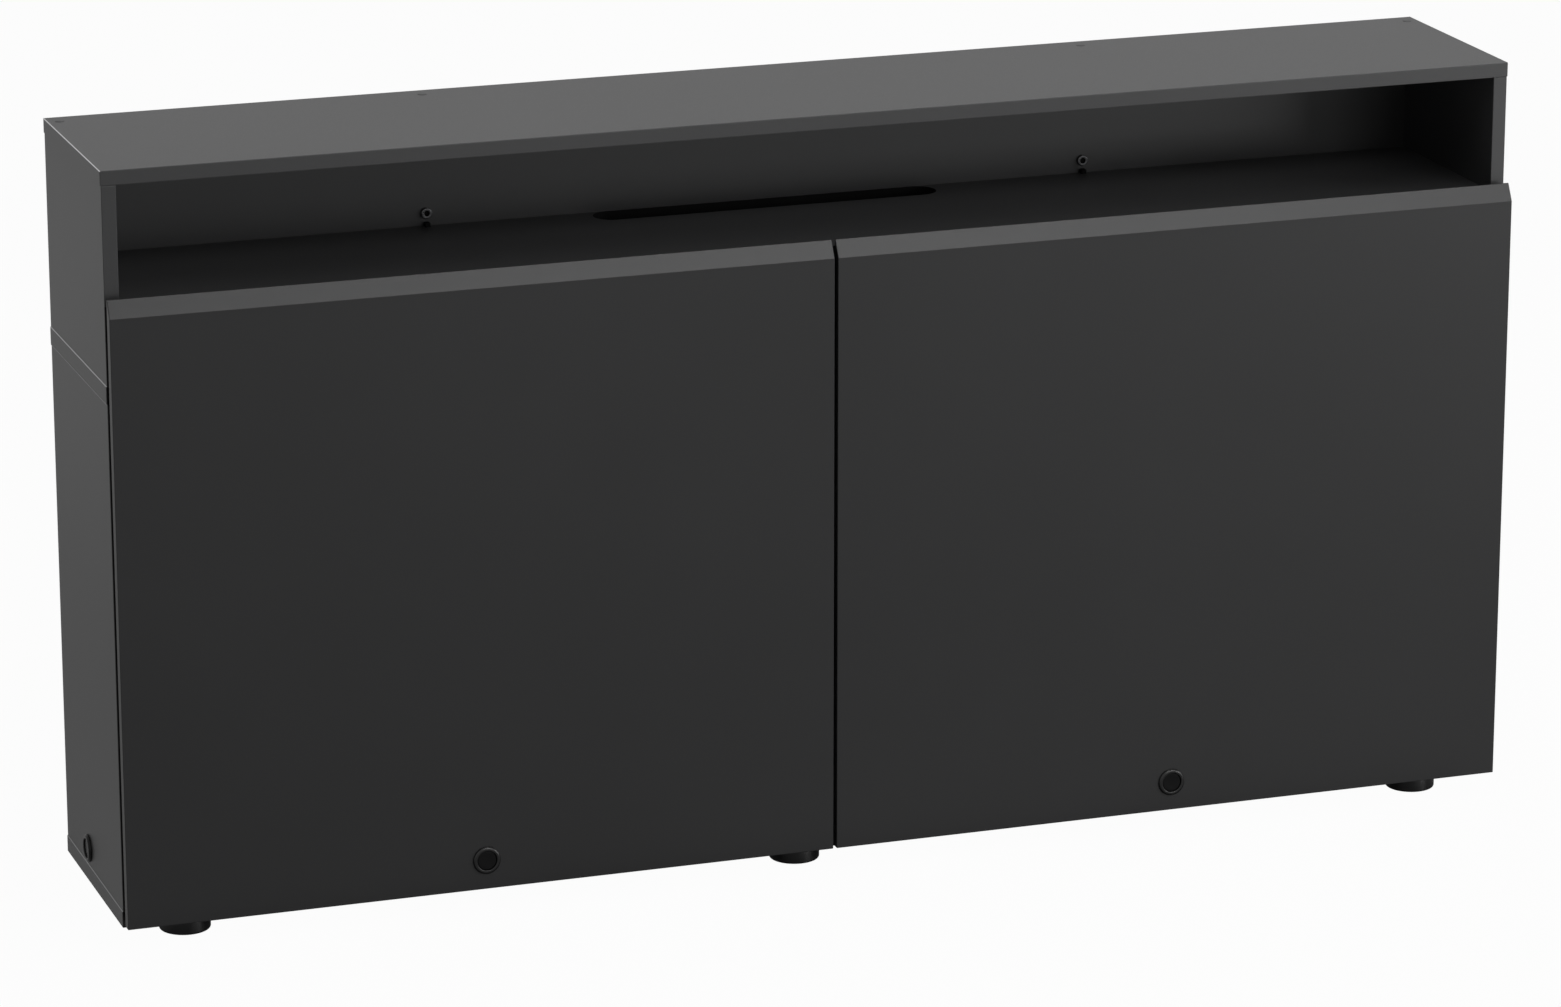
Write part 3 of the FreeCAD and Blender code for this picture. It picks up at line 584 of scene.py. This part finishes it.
def turned_piece(name, node, body, shapes, segments=SEGMENTS, finish=None):
    """Piece of turned shapes that stands for a solid of the frame; shapes are (profile, place, direction)."""
    bm = bmesh.new()
    for profile, place, direction in shapes:
        add_turned(bm, profile, place, direction, segments)
    mesh = finish_mesh(bm, name, FINISHES[finish or SLOTS[node]])
    piece = add_piece(name, mesh, body)
    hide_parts(node)


def mark_creases(bm, degrees):
    """Smooth faces, with edges sharper than an angle left crisp."""
    for face in bm.faces:
        face.smooth = True
    for edge in bm.edges:
        edge.smooth = len(edge.link_faces) == 2 and edge.calc_face_angle() < math.radians(degrees)


def arc(centre, radius, start, end, steps=6):
    """Points of a profile round a centre, from one angle to another, in degrees."""
    points = []
    for i in range(steps + 1):
        angle = math.radians(start + (end - start) * i / steps)
        points.append((centre[0] + radius * math.cos(angle), centre[1] + radius * math.sin(angle)))
    return points


def screw_head(diameter, height, material):
    """Domed screw head with a cross recess, made once and set out by the screw tree."""
    radius = diameter / 2
    profile = [(share * radius, rise * height) for share, rise in HEAD_RINGS]
    bm = bmesh.new()
    rings = add_turned(bm, profile, (0, 0, 0), UPWARD, SCREW_SEGMENTS)
    cross_recess(bm, rings[-1], radius, height)
    return bpy.data.objects.new("screw_head", finish_mesh(bm, "screw_head", material))


def cross_recess(bm, rim, radius, height):
    """Closes a head's top ring with a cross-shaped hollow."""
    arm = 0.36 * radius
    half = 0.09 * radius
    floor = 0.25 * height
    outline = []
    for quarter in range(4):
        turn = Matrix.Rotation(quarter * math.pi / 2, 3, "Z")
        for x, y in ((arm, -half), (arm, half), (half, half)):
            outline.append(turn @ Vector((x, y, 0)))
    upper = [bm.verts.new((p.x, p.y, height)) for p in outline]
    lower = [bm.verts.new((p.x, p.y, floor)) for p in outline]
    for i in range(len(outline)):
        j = (i + 1) % len(outline)
        bm.faces.new((upper[i], upper[j], lower[j], lower[i]))
    bm.faces.new(lower)
    edges = []
    for ring in (rim, upper):
        edges += [bm.edges.get(pair) for pair in zip(ring, ring[1:] + ring[:1])]
    bmesh.ops.triangle_fill(bm, edges=edges, use_beauty=True)


def screw_tree():
    """Node tree that sets a screw head on each point, along its facing, turned at random."""
    tree = bpy.data.node_groups.new("set_screws", "GeometryNodeTree")
    inputs = {"Points": "Geometry", "Head": "Object", "Seed": "Int", "Finish": "Material"}
    for name, kind in inputs.items():
        tree.interface.new_socket(name, in_out="INPUT", socket_type=f"NodeSocket{kind}")
    tree.interface.new_socket("Screws", in_out="OUTPUT", socket_type="NodeSocketGeometry")
    add = tree.nodes.new
    entry, leave = add("NodeGroupInput"), add("NodeGroupOutput")
    facing = add("GeometryNodeInputNamedAttribute")
    facing.data_type = "FLOAT_VECTOR"
    facing.inputs["Name"].default_value = "facing"
    align = add("FunctionNodeAlignRotationToVector")
    align.axis = "Z"
    spin = add("FunctionNodeRandomValue")
    spin.data_type = "FLOAT"
    spin.inputs[3].default_value = math.pi
    about = add("FunctionNodeAxisAngleToRotation")
    turn = add("FunctionNodeRotateRotation")
    turn.rotation_space = "LOCAL"
    head = add("GeometryNodeObjectInfo")
    instance = add("GeometryNodeInstanceOnPoints")
    realize = add("GeometryNodeRealizeInstances")
    paint = add("GeometryNodeSetMaterial")
    link = tree.links.new
    link(facing.outputs["Attribute"], align.inputs["Vector"])
    link(entry.outputs["Seed"], spin.inputs["Seed"])
    link(spin.outputs[1], about.inputs["Angle"])
    link(align.outputs["Rotation"], turn.inputs["Rotation"])
    link(about.outputs["Rotation"], turn.inputs["Rotate By"])
    link(entry.outputs["Head"], head.inputs["Object"])
    link(entry.outputs["Points"], instance.inputs["Points"])
    link(head.outputs["Geometry"], instance.inputs["Instance"])
    link(turn.outputs["Rotation"], instance.inputs["Rotation"])
    link(instance.outputs["Instances"], realize.inputs["Geometry"])
    link(realize.outputs["Geometry"], paint.inputs["Geometry"])
    link(entry.outputs["Finish"], paint.inputs["Material"])
    link(paint.outputs["Geometry"], leave.inputs["Screws"])
    return tree


def set_screws(name, spots, head, seed, body, slot="zinc_steel"):
    """One piece of all the screws on a body; spots are (point, facing) pairs."""
    tree = bpy.data.node_groups.get("set_screws") or screw_tree()
    mesh = bpy.data.meshes.new(name + "_points")
    mesh.from_pydata([tuple(point) for point, _ in spots], [], [])
    facing = mesh.attributes.new("facing", "FLOAT_VECTOR", "POINT")
    facing.data.foreach_set("vector", [c for _, way in spots for c in way])
    holder = bpy.data.objects.new(name + "_points", mesh)
    bpy.context.scene.collection.objects.link(holder)
    modifier = holder.modifiers.new("screws", "NODES")
    modifier.node_group = tree
    values = {"Head": head, "Seed": seed, "Finish": FINISHES[slot]}
    for item in tree.interface.items_tree:
        if item.in_out == "INPUT" and item.name in values:
            modifier[item.identifier] = values[item.name]
    bpy.context.view_layer.update()
    depsgraph = bpy.context.evaluated_depsgraph_get()
    plain = bpy.data.meshes.new_from_object(holder.evaluated_get(depsgraph), depsgraph=depsgraph)
    plain.name = name
    holder.modifiers.remove(modifier)
    bpy.data.objects.remove(holder)
    plain.materials.clear()
    plain.materials.append(FINISHES[slot])
    add_piece(name, plain, body)


def add_strip(bm, section, start, end):
    """Adds a straight strip: a section of (x, z) points drawn along y."""
    ends = [[bm.verts.new((x, y, z)) for x, z in section] for y in (start, end)]
    for i in range(len(section)):
        j = (i + 1) % len(section)
        bm.faces.new((ends[0][i], ends[0][j], ends[1][j], ends[1][i]))
    for loop in ends:
        bm.faces.new(loop)


def outer_faces(wall, board, sign):
    """Outer face of a side panel and the end of a board that stands a little proud of it."""
    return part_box(wall)[sign > 0].x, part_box(board)[sign > 0].x


def ledge_section(side, wall, board, sign):
    """Slope that fills the ledge where a side panel stands on a board's end."""
    face, end = outer_faces(f"{wall}_{side}", board, sign)
    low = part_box(board)[1].z
    high = low + abs(end - face)
    sunk = face + STRIP_SINK * (face - end)
    return [(sunk, low), (end, low), (face, high), (sunk, high)]


def lip_section(side, sign, height):
    """Sloped lip along a lower side's outer face, where it meets the mid board's end."""
    face, end = outer_faces(f"lower_side_{side}", "mid_board", sign)
    sunk = face + STRIP_SINK * (face - end)
    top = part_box("mid_board")[0].z
    foot = top - LIP_FOOT * height
    return [(sunk, top), (face, top), (end, top - height), (face, foot), (sunk, foot)]


def bead_section(sign, radius):
    """Rounded bead along an end of the top board, a little proud of both faces."""
    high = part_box("top_board")[1]
    inset = BEAD_INSET * radius
    centre = (inset - high.x, high.z - inset)
    return [(-sign * x, z) for x, z in [centre] + arc(centre, radius, 90, 180)]


class CABINET_OT_boards(bpy.types.Operator):
    """Gives the carcass boards, shelves and caps their satin facing, with painted shade on the front edges
    behind the flaps, and their ends fine bright strips of painted highlight
    """
    bl_idname = "cabinet.boards"
    bl_label = "Boards"

    def execute(self, context):
        dress(*[name for name, slot in SLOTS.items() if slot in ("board", "board_caps")])
        finish = context.scene.cabinet_finish
        low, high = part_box("top_board")
        strips = {name: [] for name in HIGHLIGHT_STRIP_SHARES}
        for side, sign in SIDES.items():
            strips["top_strips"].append(bead_section(sign, finish.bead_radius))
            strips["mid_strips"].append(ledge_section(side, "upper_side", "mid_board", sign))
            strips["mid_strips"].append(lip_section(side, sign, finish.lip_height))
            strips["bottom_strips"].append(ledge_section(side, "lower_side", "bottom_board", sign))
        # Each strip piece is a line of painted highlight.
        for name, sections in strips.items():
            bm = bmesh.new()
            for section in sections:
                add_strip(bm, section, low.y, high.y)
            add_piece(name, finish_mesh(bm, name, FINISHES[name]), "cabinet")
        return {"FINISHED"}


class CABINET_OT_flaps(bpy.types.Operator):
    """Gives the two flaps their satin facing"""
    bl_idname = "cabinet.flaps"
    bl_label = "Flaps"

    def execute(self, context):
        dress("flap_left", "flap_right")
        return {"FINISHED"}


def round_rim(outer, inner, proud, rounding, lip):
    """Upper part of a rim's profile: outer wall, broad rounding, flat, small inner lip."""
    return ([(outer, 0.0)] + arc((outer - rounding, proud - rounding), rounding, 0, 90, 8)
            + arc((inner + lip, proud - lip), lip, 90, 180, 4))


def dished_slug(radius, low, high, rounding, dish):
    """Profile of a round slug with a softened edge and a slightly hollow face."""
    edge = arc((radius - rounding, high - rounding), rounding, 0, 90, 5)
    face = [(share * radius, high - sunk * dish) for share, sunk in DISH_STEPS]
    return [(0.0, low), (radius, low)] + edge + face


def middle(low, high):
    """Place half-way between two others."""
    return (low + high) / 2


class CABINET_OT_ports(bpy.types.Operator):
    """Turns the round knobs on the flaps and the plugged ports on the sides"""
    bl_idname = "cabinet.ports"
    bl_label = "Knobs and ports"

    def execute(self, context):
        sizes = context.scene.cabinet_ports
        sleeves = []
        for side, sign in SIDES.items():
            low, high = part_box(f"knob_housing_{side}")
            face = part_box(f"flap_{side}")[0].y
            centre = Vector((middle(low.x, high.x), face, middle(low.z, high.z)))
            proud = face - low.y
            depth = high.y - face
            button_low, button_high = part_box(f"knob_button_{side}")
            cup = sizes.cup_diameter / 2
            barrel = sizes.barrel_diameter / 2
            rim = round_rim((high.x - low.x) / 2, cup, proud, sizes.rim_rounding, sizes.lip_rounding)
            housing = ([(0.0, -depth), (barrel, -depth), (barrel, 0.0)] + rim
                       + [(cup, sizes.floor_thickness - depth), (0.0, sizes.floor_thickness - depth)])
            turned_piece(f"knob_rim_{side}", f"knob_housing_{side}", f"flap_{side}",
                         [(housing, centre, FORWARD)], finish="knob_rim")
            slug = dished_slug((button_high.x - button_low.x) / 2, face - button_high.y, face - button_low.y,
                               sizes.button_rounding, sizes.button_dish)
            turned_piece(f"knob_face_{side}", f"knob_button_{side}", f"knob_{side}",
                         [(slug, centre, FORWARD)], finish="knob_face")

            outward = Vector((sign, 0, 0))
            wall_low, wall_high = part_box(f"lower_side_{side}")
            wall = wall_high.x if sign > 0 else -wall_low.x
            plug_low, plug_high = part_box(f"port_plug_{side}")
            ends = (plug_low.x, plug_high.x) if sign > 0 else (-plug_high.x, -plug_low.x)
            centre = Vector((sign * wall, middle(plug_low.y, plug_high.y), middle(plug_low.z, plug_high.z)))
            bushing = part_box("port_bushings")[1].x
            rim = round_rim((high.x - low.x) / 2, cup, bushing - wall, sizes.rim_rounding, sizes.lip_rounding)
            thickness = wall_high.x - wall_low.x
            sleeve = [(barrel, -thickness), (barrel, 0.0)] + rim + [(cup, -thickness), (barrel, -thickness)]
            sleeves.append((sleeve, centre, outward))
            slug = dished_slug((plug_high.y - plug_low.y) / 2, ends[0] - wall, ends[1] - wall,
                               sizes.button_rounding, sizes.button_dish)
            turned_piece(f"port_face_{side}", f"port_plug_{side}", f"port_{side}", [(slug, centre, outward)])
        turned_piece("port_rims", "port_bushings", "cabinet", sleeves)
        return {"FINISHED"}


def hinge_spots(side, sizes):
    """Screw places on the frame leaves and on the flap leaves of one flap."""
    low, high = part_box(f"frame_leaves_{side}")
    flap_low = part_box(f"flap_leaves_{side}")[0]
    frame_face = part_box("niche_shelf")[0].y - sizes.leaf_thickness
    flap_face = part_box(f"flap_{side}")[1].y + sizes.leaf_thickness
    length = sizes.hinge_length
    pitch = (high.x - low.x - length) / (HINGES - 1)
    frame_spots, flap_spots = [], []
    for hinge in range(HINGES):
        centre = low.x + length / 2 + hinge * pitch
        for share in (-HINGE_SCREW_SHARE, 0.0, HINGE_SCREW_SHARE):
            frame_spots.append(((centre + share * length, frame_face, low.z + FRAME_LEAF_RISE), FORWARD))
        for share in (-HINGE_SCREW_SHARE, HINGE_SCREW_SHARE):
            flap_spots.append(((centre + share * length, flap_face, flap_low.z + FLAP_LEAF_RISE), BACKWARD))
    return frame_spots, flap_spots


class CABINET_OT_hinges(bpy.types.Operator):
    """Finishes the hinges and sets their screws"""
    bl_idname = "cabinet.hinges"
    bl_label = "Hinges"

    def execute(self, context):
        sizes = context.scene.cabinet_fixings
        dress("hinge_pins")
        head = screw_head(sizes.head_diameter, sizes.head_height, FINISHES["zinc_steel"])
        for side in SIDES:
            dress(f"frame_leaves_{side}", f"flap_leaves_{side}")
            frame_spots, flap_spots = hinge_spots(side, sizes)
            set_screws(f"frame_leaf_screws_{side}", frame_spots, head, sizes.head_seed, "cabinet")
            set_screws(f"flap_leaf_screws_{side}", flap_spots, head, sizes.head_seed, f"flap_{side}")
        bpy.data.objects.remove(head)
        return {"FINISHED"}


class CABINET_OT_struts(bpy.types.Operator):
    """Finishes the gas struts and their brackets, and sets the bracket screws"""
    bl_idname = "cabinet.struts"
    bl_label = "Struts"

    def execute(self, context):
        sizes = context.scene.cabinet_fixings
        dress("strut_wall_brackets")
        head = screw_head(sizes.head_diameter, sizes.back_head_height, FINISHES["zinc_steel"])
        wall_low, wall_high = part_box("strut_wall_brackets")
        wall_spots = []
        for side, sign in SIDES.items():
            dress(f"strut_tube_{side}", f"strut_rod_{side}", f"strut_flap_bracket_{side}")
            plate = wall_high.x - sizes.bracket_thickness
            for y in (wall_low.y + WALL_BRACKET_INSET, wall_high.y - WALL_BRACKET_INSET):
                wall_spots.append(((sign * plate, y, middle(wall_low.z, wall_high.z)), (-sign, 0, 0)))
            low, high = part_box(f"strut_flap_bracket_{side}")
            inner = low.x if sign > 0 else high.x
            x = inner + sign * FLAP_BRACKET_INSET_X
            spots = [((x, low.y + sizes.bracket_thickness, z), BACKWARD)
                     for z in (low.z + FLAP_BRACKET_INSET_Z, high.z - FLAP_BRACKET_INSET_Z)]
            set_screws(f"flap_bracket_screws_{side}", spots, head, sizes.head_seed, f"flap_{side}")
        set_screws("wall_bracket_screws", wall_spots, head, sizes.head_seed, "cabinet")
        bpy.data.objects.remove(head)
        return {"FINISHED"}


def back_spots(pitch):
    """Screw places round the edge of the lower back panel and down its middle."""
    low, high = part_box("lower_back_panel")
    left, right = low.x + BACK_INSET, high.x - BACK_INSET
    spots = []
    count = round((right - left) / pitch)
    for i in range(count + 1):
        x = left + (right - left) * i / count
        spots += [((x, high.y, z), BACKWARD) for z in (low.z + BACK_INSET, high.z - BACK_INSET)]
    rows = round((high.z - low.z) / pitch)
    for x in (left, 0.0, right):
        for i in range(1, rows):
            spots.append(((x, high.y, low.z + (high.z - low.z) * i / rows), BACKWARD))
    return spots


class CABINET_OT_fittings(bpy.types.Operator):
    """Finishes catches, pins and connectors, turns the connector bolts and caps, and screws on the back"""
    bl_idname = "cabinet.fittings"
    bl_label = "Fittings"

    def execute(self, context):
        sizes = context.scene.cabinet_fixings
        dress("magnet_catches", "bumpers", "shelf_pins", "shelf_blocks", "carcass_screws", "cable_slot_liner",
              "strike_plates_left", "strike_plates_right")
        self.connectors(sizes)
        self.caps()
        head = screw_head(sizes.back_head_diameter, sizes.back_head_height, FINISHES["zinc_steel"])
        set_screws("back_panel_screws", back_spots(sizes.back_pitch), head, sizes.head_seed, "cabinet")
        bpy.data.objects.remove(head)
        return {"FINISHED"}

    def connectors(self, sizes):
        """Round-headed connector bolts; a matt black disc half-way down each driver socket is painted shade
        for the socket's dark depth.
        """
        low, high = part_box("connector_bolts")
        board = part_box("niche_back_board")[0].y
        radius = (high.z - low.z) / 2
        proud = board - low.y
        socket = sizes.socket_diameter / 2
        shank = sizes.shank_diameter / 2
        drill_point = -1.2 * proud
        profile = ([(0.0, board - high.y), (shank, board - high.y), (shank, 0.0)]
                   + round_rim(radius, socket, proud, sizes.bolt_rounding, SOCKET_ROUNDING)
                   + [(socket, -proud), (0.0, drill_point)])
        shapes = [(profile, (x, board, middle(low.z, high.z)), FORWARD)
                  for x in (low.x + radius, high.x - radius)]
        turned_piece("connector_heads", "connector_bolts", "cabinet", shapes, BOLT_SEGMENTS, "bare_connector")
        # Painted shade: a black disc set in each socket so that its floor reads dark.
        inner, floor = 0.99 * socket, 0.5 * proud
        shade_disc = [(0.0, -proud), (inner, -proud), (inner, floor), (0.0, floor)]
        bm = bmesh.new()
        for _, place, direction in shapes:
            add_turned(bm, shade_disc, place, direction, BOLT_SEGMENTS)
        add_piece("connector_sockets", finish_mesh(bm, "connector_sockets", FINISHES["black_plastic"]),
                  "cabinet")

    def caps(self):
        """Flat cover caps with a softened edge, set in the top board."""
        low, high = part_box("top_caps")
        radius = (high.y - low.y) / 2
        soft = CAP_ROUNDING
        profile = ([(0.0, low.z - high.z), (radius, low.z - high.z)]
                   + arc((radius - soft, -soft), soft, 0, 90, 3) + [(0.0, 0.0)])
        shapes = [(profile, (x, middle(low.y, high.y), high.z), UPWARD)
                  for x in (low.x + radius, -INNER_CAP_X, INNER_CAP_X, high.x - radius)]
        turned_piece("cover_caps", "top_caps", "cabinet", shapes, CAP_SEGMENTS)


class CABINET_OT_feet(bpy.types.Operator):
    """Turns the round feet and finishes their sockets"""
    bl_idname = "cabinet.feet"
    bl_label = "Feet"

    def execute(self, context):
        sizes = context.scene.cabinet_feet
        dress("foot_sockets")
        for name in FEET:
            low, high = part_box(name)
            radius = (high.x - low.x) / 2
            soft, hollow = sizes.rounding, sizes.neck_rounding
            neck = sizes.neck_diameter / 2
            stem = sizes.stem_diameter / 2
            base = sizes.base_height
            profile = ([(0.0, 0.0)] + arc((radius - soft, soft), soft, -90, 0)
                       + arc((radius - soft, base - soft), soft, 0, 90)
                       + arc((neck + hollow, base + hollow), hollow, 270, 180, 4)
                       + [(neck, sizes.neck_top), (stem, sizes.neck_top), (stem, high.z), (0.0, high.z)])
            centre = (middle(low.x, high.x), middle(low.y, high.y), 0.0)
            turned_piece(f"round_{name}", name, name, [(profile, centre, UPWARD)])
        return {"FINISHED"}


# Stage

def length_of(tree, vector):
    """Distance of a place from the origin."""
    node = tree.nodes.new("ShaderNodeVectorMath")
    node.operation = "LENGTH"
    tree.links.new(vector, node.inputs[0])
    return node.outputs["Value"]


def shaded_patch(tree, place):
    """Dim on the floor under the cabinet and close before it, full further out."""
    high = CAD_BOX[1]
    split = tree.nodes.new("ShaderNodeSeparateXYZ")
    tree.links.new(place, split.inputs["Vector"])
    limits = (("X", high.x - SHADE_INSET_X), ("Y", high.y + SHADE_REACH_Y))
    outside = [calculated(tree, "SUBTRACT", calculated(tree, "ABSOLUTE", split.outputs[axis], 0.0), limit)
               for axis, limit in limits]
    furthest = calculated(tree, "MAXIMUM", *outside)
    return mapped(tree, furthest, SHADE_START, SHADE_END, SHADE_LEVEL, 1.0, "SMOOTHSTEP")


def mixed(tree, factor, first, second):
    """Shader that goes from a first to a second by a factor."""
    node = tree.nodes.new("ShaderNodeMixShader")
    tree.links.new(factor, node.inputs["Fac"])
    tree.links.new(first, node.inputs[1])
    tree.links.new(second, node.inputs[2])
    return node.outputs["Shader"]


def plain_white(tree, kind, strength):
    """White background or emission of one strength, given as a number or a socket."""
    node = tree.nodes.new(kind)
    node.inputs["Color"].default_value = (1, 1, 1, 1)
    feed(tree, node.inputs["Strength"], strength)
    return node.outputs[0]


def pale_world(world, setup):
    """White to the eye, less bright in reflections, and a faint even light on matt surfaces."""
    world.use_nodes = True
    tree = world.node_tree
    tree.nodes.clear()
    output = tree.nodes.new("ShaderNodeOutputWorld")
    path = tree.nodes.new("ShaderNodeLightPath")
    matt = mixed(tree, path.outputs["Is Glossy Ray"],
                 plain_white(tree, "ShaderNodeBackground", setup.ambient),
                 plain_white(tree, "ShaderNodeBackground", setup.studio_gloss))
    white = plain_white(tree, "ShaderNodeBackground", 1.0)
    tree.links.new(mixed(tree, path.outputs["Is Camera Ray"], matt, white), output.inputs["Surface"])


def pale_floor(setup):
    """Large pale floor, near white to the eye, that keeps a soft shadow."""
    mesh = bpy.data.meshes.new("floor")
    corners = [(x * FLOOR_HALF, y * FLOOR_HALF, 0) for x, y in ((-1, -1), (1, -1), (1, 1), (-1, 1))]
    mesh.from_pydata(corners, [], [(0, 1, 2, 3)])
    floor = bpy.data.objects.new("floor", mesh)
    bpy.context.scene.collection.objects.link(floor)
    material = bpy.data.materials.new("pale_floor")
    material.use_nodes = True
    tree = material.node_tree
    tree.nodes.clear()
    output = tree.nodes.new("ShaderNodeOutputMaterial")
    matt = tree.nodes.new("ShaderNodeBsdfDiffuse")
    matt.inputs["Color"].default_value = (*setup.floor_colour, 1)
    path = tree.nodes.new("ShaderNodeLightPath")
    place = tree.nodes.new("ShaderNodeTexCoord").outputs["Object"]
    # Painted shade in reflections: the mirrored floor is dimmer near the cabinet, for its contact shadow, and
    # dimmer still in the patch by its feet.
    mirrored = mapped(tree, length_of(tree, place), GLOSS_START, GLOSS_END,
                      setup.floor_near_gloss, setup.floor_far_gloss, "SMOOTHSTEP")
    mirrored = calculated(tree, "MULTIPLY", mirrored, shaded_patch(tree, place))
    in_gloss = mixed(tree, path.outputs["Is Glossy Ray"], matt.outputs["BSDF"],
                     plain_white(tree, "ShaderNodeEmission", mirrored))
    share = calculated(tree, "MULTIPLY", path.outputs["Is Camera Ray"], setup.floor_white)
    seen = mixed(tree, share, in_gloss, plain_white(tree, "ShaderNodeEmission", 1.0))
    tree.links.new(seen, output.inputs["Surface"])
    mesh.materials.append(material)


def softbox(name, place, aim, size, power, gloss_only=False):
    """Rectangular lamp facing a point, on all surfaces or in reflections alone."""
    lamp = bpy.data.lights.new(name, "AREA")
    lamp.shape = "RECTANGLE"
    lamp.size, lamp.size_y = size
    lamp.energy = power
    holder = bpy.data.objects.new(name, lamp)
    holder.location = place
    holder.rotation_euler = (Vector(aim) - Vector(place)).to_track_quat("-Z", "Y").to_euler()
    holder.visible_diffuse = not gloss_only
    bpy.context.scene.collection.objects.link(holder)


class CABINET_OT_stage(bpy.types.Operator):
    """Sets the floor, the soft studio light and the camera"""
    bl_idname = "cabinet.stage"
    bl_label = "Stage"

    def execute(self, context):
        scene = context.scene
        setup = scene.cabinet_stage
        scene.view_settings.view_transform = "Standard"
        scene.world = scene.world or bpy.data.worlds.new("pale_world")
        pale_world(scene.world, setup)
        pale_floor(setup)
        powers = {"top_strip": setup.top_power, "bevel_front": setup.bevel_power,
                  "bevel_gleam": setup.gleam_power, "right_far": setup.right_power,
                  "right_low": setup.low_power, "right_front": setup.front_power}
        for name, (place, aim, size) in LAMPS.items():
            softbox(name, place, aim, size, powers[name], gloss_only=name == "bevel_gleam")
        camera = bpy.data.cameras.new("camera")
        camera.sensor_fit = "HORIZONTAL"
        camera.sensor_width = SENSOR_WIDTH
        camera.lens = setup.camera_lens
        camera.clip_end = VIEW_END
        holder = bpy.data.objects.new("camera", camera)
        holder.location = setup.camera_place
        holder.rotation_euler = (setup.camera_tilt, 0, setup.camera_turn)
        scene.collection.objects.link(holder)
        scene.camera = holder
        return {"FINISHED"}


class CABINET_PT_panel(bpy.types.Panel):
    """Lists the cabinet's groups of pieces"""
    bl_idname = "CABINET_PT_panel"
    bl_label = "Cabinet"
    bl_space_type = "VIEW_3D"
    bl_region_type = "UI"
    bl_category = "Cabinet"

    def draw(self, context):
        for operator in OPERATORS:
            self.layout.operator(operator.bl_idname)


OPERATORS = (CABINET_OT_boards, CABINET_OT_flaps, CABINET_OT_ports, CABINET_OT_hinges, CABINET_OT_struts,
             CABINET_OT_fittings, CABINET_OT_feet, CABINET_OT_stage)
GROUPS = {"cabinet_finish": CabinetFinish, "cabinet_fixings": CabinetFixings, "cabinet_ports": CabinetPorts,
          "cabinet_feet": CabinetFeet, "cabinet_stage": CabinetStage}


def register():
    for cls in (*GROUPS.values(), *OPERATORS, CABINET_PT_panel):
        bpy.utils.register_class(cls)
    for name, cls in GROUPS.items():
        setattr(bpy.types.Scene, name, PointerProperty(type=cls))


def unregister():
    for name in GROUPS:
        delattr(bpy.types.Scene, name)
    for cls in (CABINET_PT_panel, *reversed(OPERATORS), *GROUPS.values()):
        bpy.utils.unregister_class(cls)


def main():
    register()
    make_finishes(bpy.context.scene.cabinet_finish)
    bpy.ops.cabinet.boards()
    bpy.ops.cabinet.flaps()
    bpy.ops.cabinet.ports()
    bpy.ops.cabinet.hinges()
    bpy.ops.cabinet.struts()
    bpy.ops.cabinet.fittings()
    bpy.ops.cabinet.feet()
    bpy.ops.cabinet.stage()


if __name__ == "__main__":
    main()
